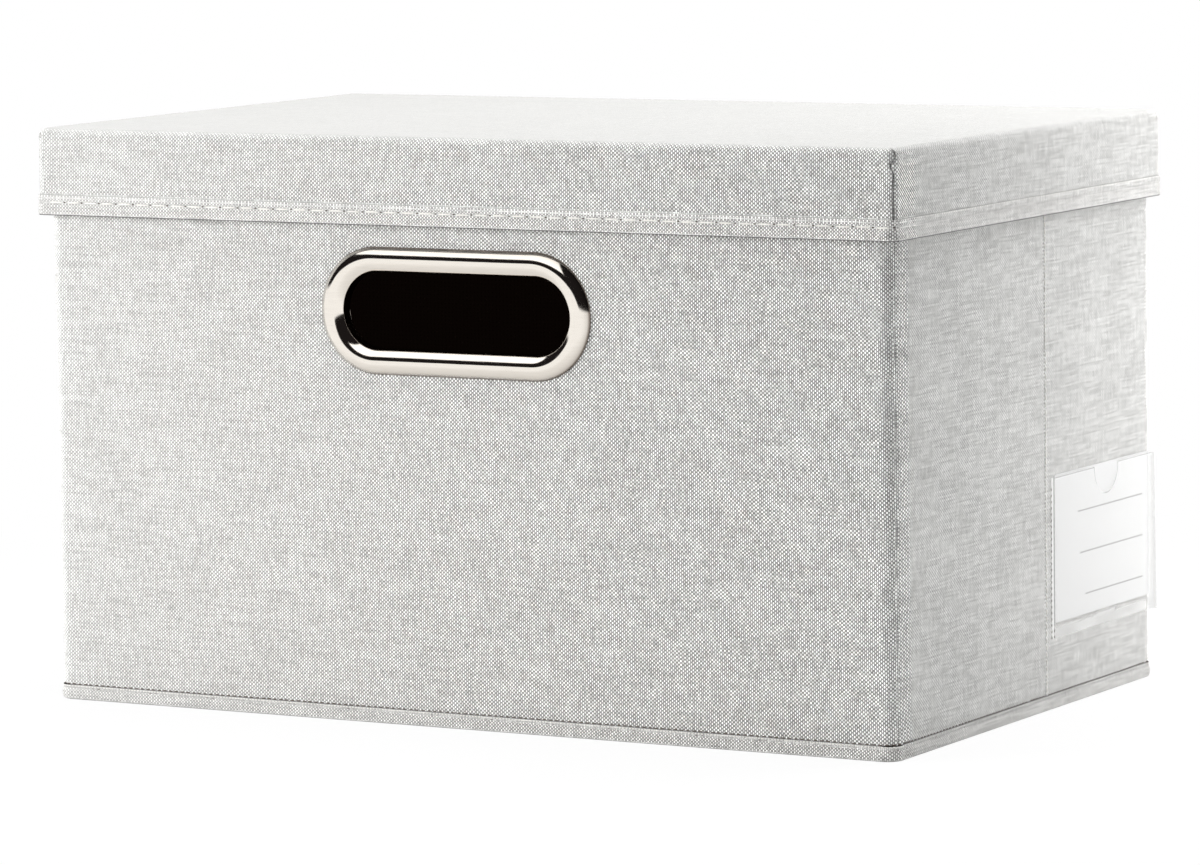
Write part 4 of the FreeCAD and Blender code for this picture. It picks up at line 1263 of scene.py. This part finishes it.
def eyelet_section():
    """Closed section of the ring: the dome from outside in, the collar, its clinched lip and back."""
    share = 0.5 - 0.5 * np.cos(np.linspace(0, math.pi, 41))
    from_crown = np.sqrt((2 * share - 1) ** 2 + CROWN_SOFT**2) - CROWN_SOFT
    from_crown /= from_crown[0]
    dome = joined(OVAL_HIGH - RIM * share, DOME * np.clip(1 - from_crown**1.55, 0, 1) ** 0.72)
    collar = joined(FINGER_HIGH, np.linspace(-0.6 * MM, WALL_BACK - LIP, 5))
    lip = quarter((FINGER_HIGH + LIP, WALL_BACK - LIP), LIP, 180, 300, 7)
    back = [[FINGER_HIGH + 1.1 * MM, WALL_BACK - 0.5 * MM], [FINGER_HIGH + 1.1 * MM, -0.2 * MM],
            [FINGER_HIGH + 1.6 * MM, 0.15 * MM], [OVAL_HIGH - 1 * MM, 0.1 * MM]]
    return np.concatenate([dome, collar, lip, back, dome[:1]])


def washer_section():
    """Closed section of the washer, with a rolled outer edge."""
    low, high = corners("front_washer")
    inner = FINGER_HIGH + 1.25 * MM
    near, far = -(high[1] + HALF_Y), -(low[1] + HALF_Y)
    roll = quarter(((high[2] - low[2]) / 2 - 0.55 * MM, (near + far) / 2), 0.55 * MM, -90, 90, 9)
    start = [[inner, near + 0.1 * MM]]
    return np.concatenate([start, roll, [[inner, far - 0.05 * MM]], start])


for wall, (sign, _, _) in WALLS.items():
    ring = oval_sweep(eyelet_section(), f"{wall}_eyelet_ring", sign)
    dress(ring, f"{wall}_wall", "polished_metal", f"{wall}_eyelet")
    washer = oval_sweep(washer_section(), f"{wall}_washer_plate", sign)
    dress(washer, f"{wall}_wall", "polished_metal", f"{wall}_washer")
    print(ring.name, len(ring.data.polygons), "faces")

# %% [markdown]
# ## Lining
# Inside, the walls are covered with dark felt. The long walls' linings have the same oval hole and turn a
# few millimetres round the inner corners, and the end linings run across the crease. The floor boards are
# wrapped in the same felt, and a thin cloth under them is sewn to the foot of the walls.

# %% Wall linings
FELT = 0.4 * MM
FELT_GRID = 12 * MM
FELT_FOLD_ROOM = 8 * MM


def lining_patches(sign):
    """Inner face of a long wall with its hole, and a narrow strip of each end as far as the hinge."""
    face = holed_face(INNER_X, WALL_LOW, WALL_TOP, CLOTH_HOLE, 10, FELT_GRID)
    points = joined(face[..., 0], -INNER_Y, face[..., 1])
    patches = [reversed_patch(patch(points, face))]
    heights = np.linspace(WALL_LOW, WALL_TOP, 21)
    for side in (1, -1):
        plan = np.array([[INNER_X * side, -INNER_Y], [INNER_X * side, -PIVOT_Y]])
        strip = upright(plan, np.array([INNER_X, INNER_X + INNER_Y - PIVOT_Y]) * side, heights)
        patches.append(reversed_patch(strip) if side > 0 else strip)
    return [patch(turned(points, sign), weave, shade) for points, weave, shade in patches]


for wall, (sign, _, _) in WALLS.items():
    lining = build(f"{wall}_wall_felt", lining_patches(sign), felt, FELT)
    dress(lining, f"{wall}_wall", "lining", f"{wall}_lining")

for end, side in ENDS.items():
    heights = np.linspace(WALL_LOW, WALL_TOP, 31)
    strip = end_patch(side, -PIVOT_Y, PIVOT_Y, heights, INNER_X, None, (0.0,))
    lining = build(f"{end}_end_felt", [reversed_patch(strip)], felt, FELT)
    fold_end(lining, end, "lining", "lining", INNER_X, FELT_FOLD_ROOM)

# %% Floor boards
MITRE_SOFT = 1.2 * MM
PLATE_SOFT = 0.9 * MM
PLATE_RINGS = (0.0, 0.35, 0.7)


def mitred_outline(low, high, half):
    """Outline of a floor board with its ends cut at 45 degrees, anticlockwise, with soft corners."""
    near, far = (low[1], high[1]) if half > 0 else (high[1], low[1])
    long_half = high[0]
    short_half = long_half - abs(far - near)
    ends = np.array([[long_half, far], [-long_half, far], [-short_half, near], [short_half, near]])[::half]
    share = np.linspace(0, 1, 5)[:, None]
    rounded = []
    for number, corner in enumerate(ends):
        back = ends[number - 1] - corner
        ahead = ends[(number + 1) % 4] - corner
        start = corner + back / np.linalg.norm(back) * MITRE_SOFT
        stop = corner + ahead / np.linalg.norm(ahead) * MITRE_SOFT
        rounded.append(start * (1 - share) ** 2 + corner * 2 * share * (1 - share) + stop * share**2)
    return np.concatenate([*rounded, rounded[0][:1]])


def plate_patch(outline, low_z, high_z):
    """A plate over an outline: rings from the middle of its underside, round its edge, to its top."""
    middle = outline[:-1].mean(axis=0)
    away = outline - middle
    reach = np.linalg.norm(away, axis=1, keepdims=True)
    turn = np.radians(np.linspace(-90, 90, 9))
    under = [middle + away * share for share in PLATE_RINGS]
    edge = [middle + away * (1 - PLATE_SOFT * (1 - math.cos(angle)) / reach) for angle in turn]
    edge_heights = (low_z + high_z) / 2 + (high_z - low_z) / 2 * np.sin(turn)
    plan = np.stack(under + edge + under[::-1], axis=1)
    heights = np.concatenate([np.full(len(under), low_z), edge_heights, np.full(len(under), high_z)])
    return patch(joined(plan[..., 0], plan[..., 1], heights), plan.copy())


for name, half in (("rear", 1), ("front", -1)):
    low, high = corners(f"{name}_floor_cover")
    plate = plate_patch(mitred_outline(low, high, half), low[2], high[2])
    cover = build(f"{name}_floor_felt", [plate], felt)
    dress(cover, f"{name}_floor_panel", "lining", f"{name}_floor_cover", f"{name}_floor_board")
    print(cover.name, len(cover.data.polygons), "faces")

# %% Floor cloth
low, high = corners("floor_cloth")
across, depth = np.meshgrid(np.linspace(low[0], high[0], 99), np.linspace(low[1], high[1], 81), indexing="ij")
sag = 0.12 * MM * (1 + np.sin(across / (23 * MM)) * np.sin(depth / (19 * MM)))
points = joined(across, depth, high[2] - sag)
under_cloth = build("floor_under_cloth", [patch(points, points[..., :2].copy())], felt, 0.15 * MM)
dress(under_cloth, "back_wall", "lining", "floor_cloth")
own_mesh(under_cloth)
print("floor cloth", high - low)

# %% Lid lining
lining_low, lining_high = corners("lid_lining")
LINED_X, LINED_Y = lining_high[:2] - 0.3 * MM
CEILING = lining_high[2] - 0.3 * MM
LINING_EDGE = 0.8 * MM


def lid_lining_patches():
    """Inside of the skirt and the ceiling: a section carried round the outline, and a roof of rings."""
    places, outs, length, _ = rounded_outline(LINED_X, LINED_Y, 1.6 * MM, 8 * MM, 0.5 * MM)
    rise = np.linspace(lining_low[2], CEILING - LINING_EDGE, 8)
    edge = quarter((-LINING_EDGE, CEILING - LINING_EDGE), LINING_EDGE, 0, 90, 6)
    section = np.concatenate([joined(0.0, rise), edge[1:]])
    points = carried(places, outs, section)
    top = roofed(points[:, -1, :], LINED_X, LINED_Y, 12)
    parts = [patch(points, crossed(length, section_length(section))), patch(top, top[..., :2].copy())]
    return [reversed_patch(part) for part in parts]


lid_felt = build("lid_felt", lid_lining_patches(), felt, 0.25 * MM)
dress(lid_felt, "lid", "lining", "lid_lining")
print("lid lining", len(lid_felt.data.polygons), "faces")

# %% [markdown]
# ## Label pocket and card
# The pocket is a clear film that is welded and sewn to the linen on three sides. It lies flat at its edges,
# steps up over the card and is open at the top, where a round notch is cut for the thumb. Its height is a
# function of the distance to its edge, and each column of the grid ends at the notch's curve. Its rear edge
# stands off the wall. The card in it is the CAD piece with a better finish, and its printed lines are thin
# raised strips.

# %% Label pocket
pocket_low, pocket_high = corners("label_pocket")
NOTCH = 12 * MM
NOTCH_Y = pocket_low[1] + 53.5 * MM
SIDE_WELD = 2.1 * MM
FOOT_WELD = 6.2 * MM
REAR_SHADE_REACH = 6.0 * MM
REAR_PAINTED_SHADE = -0.36
FOOT_MILKY = 0.38
CUT_PAINTED_SHADE = 0.8
LOOSE_WIDTH = 3.5 * MM
LOOSE_EDGE = 2.0 * MM


def pocket_patch():
    """The film: each column runs from the lower edge up to the top edge or the notch."""
    sides = (pocket_low[1], pocket_high[1])
    columns = fine_steps(*sides, 1.6 * MM, sides, 3 * MM, 0.3 * MM)
    angle = np.linspace(0, math.pi, 41)
    columns = np.unique(np.round(np.concatenate([columns, NOTCH_Y - NOTCH * np.cos(angle)]), 7))
    top = pocket_high[2] - NOTCH * np.sqrt(np.clip(1 - ((columns - NOTCH_Y) / NOTCH) ** 2, 0, None))
    share = fine_steps(0, 1, 0.03, (0.0, 1.0), 0.05, 0.006)
    depth = np.repeat(columns[:, None], len(share), axis=1)
    height = pocket_low[2] + (top - pocket_low[2])[:, None] * share[None, :]
    above_foot = height - pocket_low[2]
    to_side = np.minimum(depth - pocket_low[1], pocket_high[1] - depth)
    rise = smooth_step((to_side - 1.4 * MM) / (1.0 * MM)) * smooth_step((above_foot - 4.4 * MM) / (1.8 * MM))
    bead = 0.28 * MM * bump(to_side - 0.7 * MM, 0.45 * MM)
    loose = LOOSE_EDGE * smooth_step(1 - (pocket_high[1] - depth) / LOOSE_WIDTH)
    out = HALF_X + 0.3 * MM + bead + (pocket_high[0] - HALF_X - 0.34 * MM) * rise
    out = out + loose * (1.15 - 0.5 * above_foot / (pocket_high[2] - pocket_low[2]))
    # Painted shade: the loose rear edge, which stands off the wall, is grey.
    rear_edge_shade = REAR_PAINTED_SHADE * smooth_step((REAR_SHADE_REACH - to_side) / (0.8 * MM))
    side_weld = smooth_step((SIDE_WELD - to_side) / (0.6 * MM))
    foot_weld = FOOT_MILKY * smooth_step((FOOT_WELD - above_foot) / (0.8 * MM))
    weld = np.where(depth > NOTCH_Y, rear_edge_shade, side_weld)
    weld = np.where(np.abs(weld) < 0.01, foot_weld, weld)
    # Painted shade: the cut edge along the top and the notch's rear side is grey.
    cut = smooth_step(1 - (top[:, None] - height) / (0.5 * MM)) * (to_side > SIDE_WELD)
    cut *= 1 - smooth_step(1 - np.abs(depth - NOTCH_Y + 6 * MM) / (7 * MM))
    shade = np.clip(weld, -1, 1) * (1 - cut) - CUT_PAINTED_SHADE * cut
    return patch(joined(out, depth, height), joined(depth, height), shade)


pocket = build("label_pocket_film", [pocket_patch()], film, 0.2 * MM)
dress(pocket, "right_rear_panel", "clear_film", "label_pocket")
pocket.visible_shadow = False
print(pocket.name, len(pocket.data.polygons), "faces")

pocket_rows = (pocket_low[2], pocket_high[2] - 3 * MM, 2.6 * MM, 1.3 * MM)
for name, place in (("outer", pocket_low[1] - 0.3 * MM), ("inner", pocket_low[1] + 2.25 * MM)):
    lines, directions = upright_lines(HALF_X + 0.35 * MM, place, *pocket_rows)
    row = stitch_row(f"label_pocket_{name}_stitches", lines, directions, 0.2 * MM, 0.12 * MM, grey_thread)
    dress(row, "right_rear_panel", "linen")

# %% Label card
RULES = ((48 * MM, 80.5 * MM), (50 * MM, 62.7 * MM), (55 * MM, 44.7 * MM))
RULE_STOP = 114 * MM
RULE = 0.7 * MM


def rule_patch(start, height):
    """A thin strip on the card's face, from its start to where all the rules stop."""
    place = crossed(np.array([start, RULE_STOP]), np.array([height - RULE / 2, height + RULE / 2]))
    return patch(joined(corners("label_card")[1][0] + 0.015 * MM, place[..., 0], place[..., 1]), place)


card_rules = build("card_rules", [rule_patch(*rule) for rule in RULES], ink, 0.01 * MM)
dress(card_rules, "label_card", "card")


def finish_node(node, material):
    """Gives a CAD piece that keeps its shape another material."""
    node.data.materials.clear()
    node.data.materials.append(material)


finish_node(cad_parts["label_card"], card_white)
print("card with", len(RULES), "rules")

# %% [markdown]
# ## Boards
# The boards keep their CAD shapes, because a board is a plain plate. They only get the finish of pressed
# greyboard, which shows where a cloth is folded away from them.

# %% Boards
boards = [name for name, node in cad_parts.items() if name.endswith("_board") and not node.hide_render]
for name in boards:
    finish_node(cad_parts[name], greyboard)
print("boards", len(boards))

# %% [markdown]
# ## Floor, light and camera
# The studio is plain: a pale floor that fades into a white background, a large soft light above, three that
# shape the walls from the left and the right, and a weak one in front. What the polished ring mirrors is
# painted in the world's colour for glossy rays only: a pale room with a bright panel overhead and dark gaps
# beside it.

# %% Floor
FLOOR_REACH = 1.7
FLOOR_WHITE = 0.92
WHITE = (1.0, 1.0, 1.0, 1.0)
MIRRORED_ROOM = (1.0, 0.992, 0.975, 1.0)
MIRRORED_NEAR = (0.77, 0.755, 0.73, 1.0)
MIRRORED_GAP = (0.012, 0.010, 0.010, 1.0)
MIRRORED_PANEL = (1.35, 1.33, 1.3, 1.0)


def make_floor():
    """A round floor that is lit near the box and turns plain white further out."""
    finish = new_finish("pale_floor")
    place = finish.split(finish.place())
    squares = finish.math("ADD", finish.math("POWER", place[0], 2.0), finish.math("POWER", place[1], 2.0))
    away = finish.math("SQRT", squares)
    grain = finish.noise(finish.place(), 260.0, 3.0)
    finish.set(Base_Color=finish.mix(grain, colour(236, 236, 236), colour(242, 242, 242)), Roughness=0.7)
    finish.set(Specular_IOR_Level=0.1)
    path = finish.node("ShaderNodeLightPath").outputs
    # For glossy rays the floor shows a painted reflection, darker near the box.
    mirrored = finish.mix(finish.ramp(away, 0.16, 0.6), MIRRORED_NEAR, MIRRORED_ROOM)
    plain = finish.mix(path["Is Glossy Ray"], WHITE, mirrored)
    white = finish.node("ShaderNodeEmission", {"Color": plain, "Strength": 1.0}).outputs[0]
    seen = finish.math("MAXIMUM", path["Is Glossy Ray"], path["Is Transmission Ray"])
    seen = finish.math("MAXIMUM", path["Is Camera Ray"], seen)
    share = finish.math("MULTIPLY", finish.ramp(away, 0.26, 0.62, FLOOR_WHITE, 1.0), seen)
    mixed = finish.node("ShaderNodeMixShader", {0: share, 1: finish.shader.outputs[0], 2: white}).outputs[0]
    finish.feed(finish.first("OUTPUT_MATERIAL").inputs[0], mixed)
    return finish.owner


angle = np.linspace(0, math.tau, 97)[:, None]
radius = np.array([0.0, 0.2, 0.5, 1.0, FLOOR_REACH])
floor_points = joined(radius * np.cos(angle), radius * np.sin(angle), 0.0)
floor = build("floor", [reversed_patch(patch(floor_points, floor_points[..., :2].copy()))], make_floor())
floor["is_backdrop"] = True
print("floor radius", FLOOR_REACH, "m")

# %% Light
LIGHTS = {
    "overhead_panel": ((0.0, 0.1, 1.5), (0, 0, 0.2), (1.6, 1.4), 30.0),
    "left_panel": ((-1.3, -1.2, 0.6), (-0.1, -0.1, 0.12), (0.9, 0.9), 20.5),
    "left_near_panel": ((-0.62, -0.66, 0.2), (-0.15, -0.12, 0.13), (0.4, 0.7), 2.5),
    "right_panel": ((0.42, 0.33, 0.27), (0.2, 0.1, 0.14), (0.3, 0.5), 1.85),
    "fill_panel": ((1.1, -1.3, 0.5), (0.15, -0.1, 0.12), (0.9, 0.9), 1.2),
}


def soft_light(name, place, target, size, watts):
    """A rectangular soft light that faces its target and doesn't show in the ring."""
    data = bpy.data.lights.new(name, "AREA")
    data.shape = "RECTANGLE"
    data.size, data.size_y = size
    data.energy = watts
    light = bpy.data.objects.new(name, data)
    light.location = place
    light.rotation_euler = (Vector(target) - Vector(place)).to_track_quat("-Z", "Y").to_euler()
    light.visible_glossy = False
    bpy.context.scene.collection.objects.link(light)


for name, settings in LIGHTS.items():
    soft_light(name, *settings)
print("lights", len(LIGHTS))

# %% World
AMBIENT = 0.09


def make_world():
    """White for camera rays, soft ambient light, and a studio of light and dark panels for glossy rays."""
    world = bpy.data.worlds.new("studio")
    finish = Finish(world)
    way = finish.split(finish.node("ShaderNodeTexCoord").outputs["Generated"])
    overhead, leftwards = finish.ramp(way[2], 0.60, 0.65), finish.ramp(way[0], 0.08, 0.14, 1.0, 0.0)
    panel = finish.math("MULTIPLY", overhead, leftwards)
    lower_right = finish.ramp(way[0], 0.0, 0.3, 0.0, 0.14)
    lower = finish.math("ADD", lower_right, finish.ramp(way[0], -0.9, -0.8, 0.1, 0.0))
    start = finish.ramp(finish.math("ADD", way[2], lower), 0.17, 0.25)
    gap = finish.math("MULTIPLY", start, finish.math("SUBTRACT", 1.0, panel))
    studio = finish.mix(panel, finish.mix(gap, MIRRORED_ROOM, MIRRORED_GAP), MIRRORED_PANEL)
    path = finish.node("ShaderNodeLightPath").outputs
    lit = finish.mix(path["Is Glossy Ray"], (AMBIENT, AMBIENT, AMBIENT, 1.0), studio)
    seen = finish.math("MAXIMUM", path["Is Camera Ray"], path["Is Transmission Ray"])
    background = finish.first("BACKGROUND")
    finish.feed(background.inputs[0], finish.mix(seen, lit, WHITE))
    finish.feed(finish.first("OUTPUT_WORLD").inputs[0], background.outputs[0])
    bpy.context.scene.world = world


make_world()
bpy.context.scene.view_settings.view_transform = "Standard"
print("world", bpy.context.scene.world.name)

# %% [markdown]
# The camera stands where the photographer's did: about 29 degrees round from the front and under 7 degrees
# above the level, far away with a long lens, and tilted by less than a degree. Its three axes are written
# out, because a camera's matrix is just the directions of its right, its top and its back.

# %% Camera
AZIMUTH = math.radians(29.21)
ELEVATION = math.radians(6.54)
ROLL = math.radians(-0.78)
DISTANCE = 2.628
FOCAL_PIXELS = 6118.9
PHOTO_WIDTH = 1200
TARGET = np.array([-2.4, 0.0, 110.1]) * MM

level_back = np.array([math.sin(AZIMUTH), -math.cos(AZIMUTH), 0.0])
back = level_back * math.cos(ELEVATION) + np.array([0.0, 0.0, math.sin(ELEVATION)])
level_right = np.cross(-back, [0, 0, 1])
level_right /= np.linalg.norm(level_right)
level_up = np.cross(level_right, -back)
camera_data = bpy.data.cameras.new("camera")
camera_data.lens = FOCAL_PIXELS / PHOTO_WIDTH * camera_data.sensor_width
camera_data.clip_start, camera_data.clip_end = 0.1, 60.0
camera = bpy.data.objects.new("camera", camera_data)
bpy.context.scene.collection.objects.link(camera)
axes = np.identity(4)
axes[:3, 0] = level_right * math.cos(ROLL) + level_up * math.sin(ROLL)
axes[:3, 1] = level_up * math.cos(ROLL) - level_right * math.sin(ROLL)
axes[:3, 2] = back
axes[:3, 3] = TARGET + back * DISTANCE
camera.matrix_world = Matrix(axes.tolist())
bpy.context.scene.camera = camera
print("lens", round(camera_data.lens, 1), "mm")

# %% Sizes
low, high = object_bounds()
print("visual box", [round(value, 4) for value in (*low, *high)])
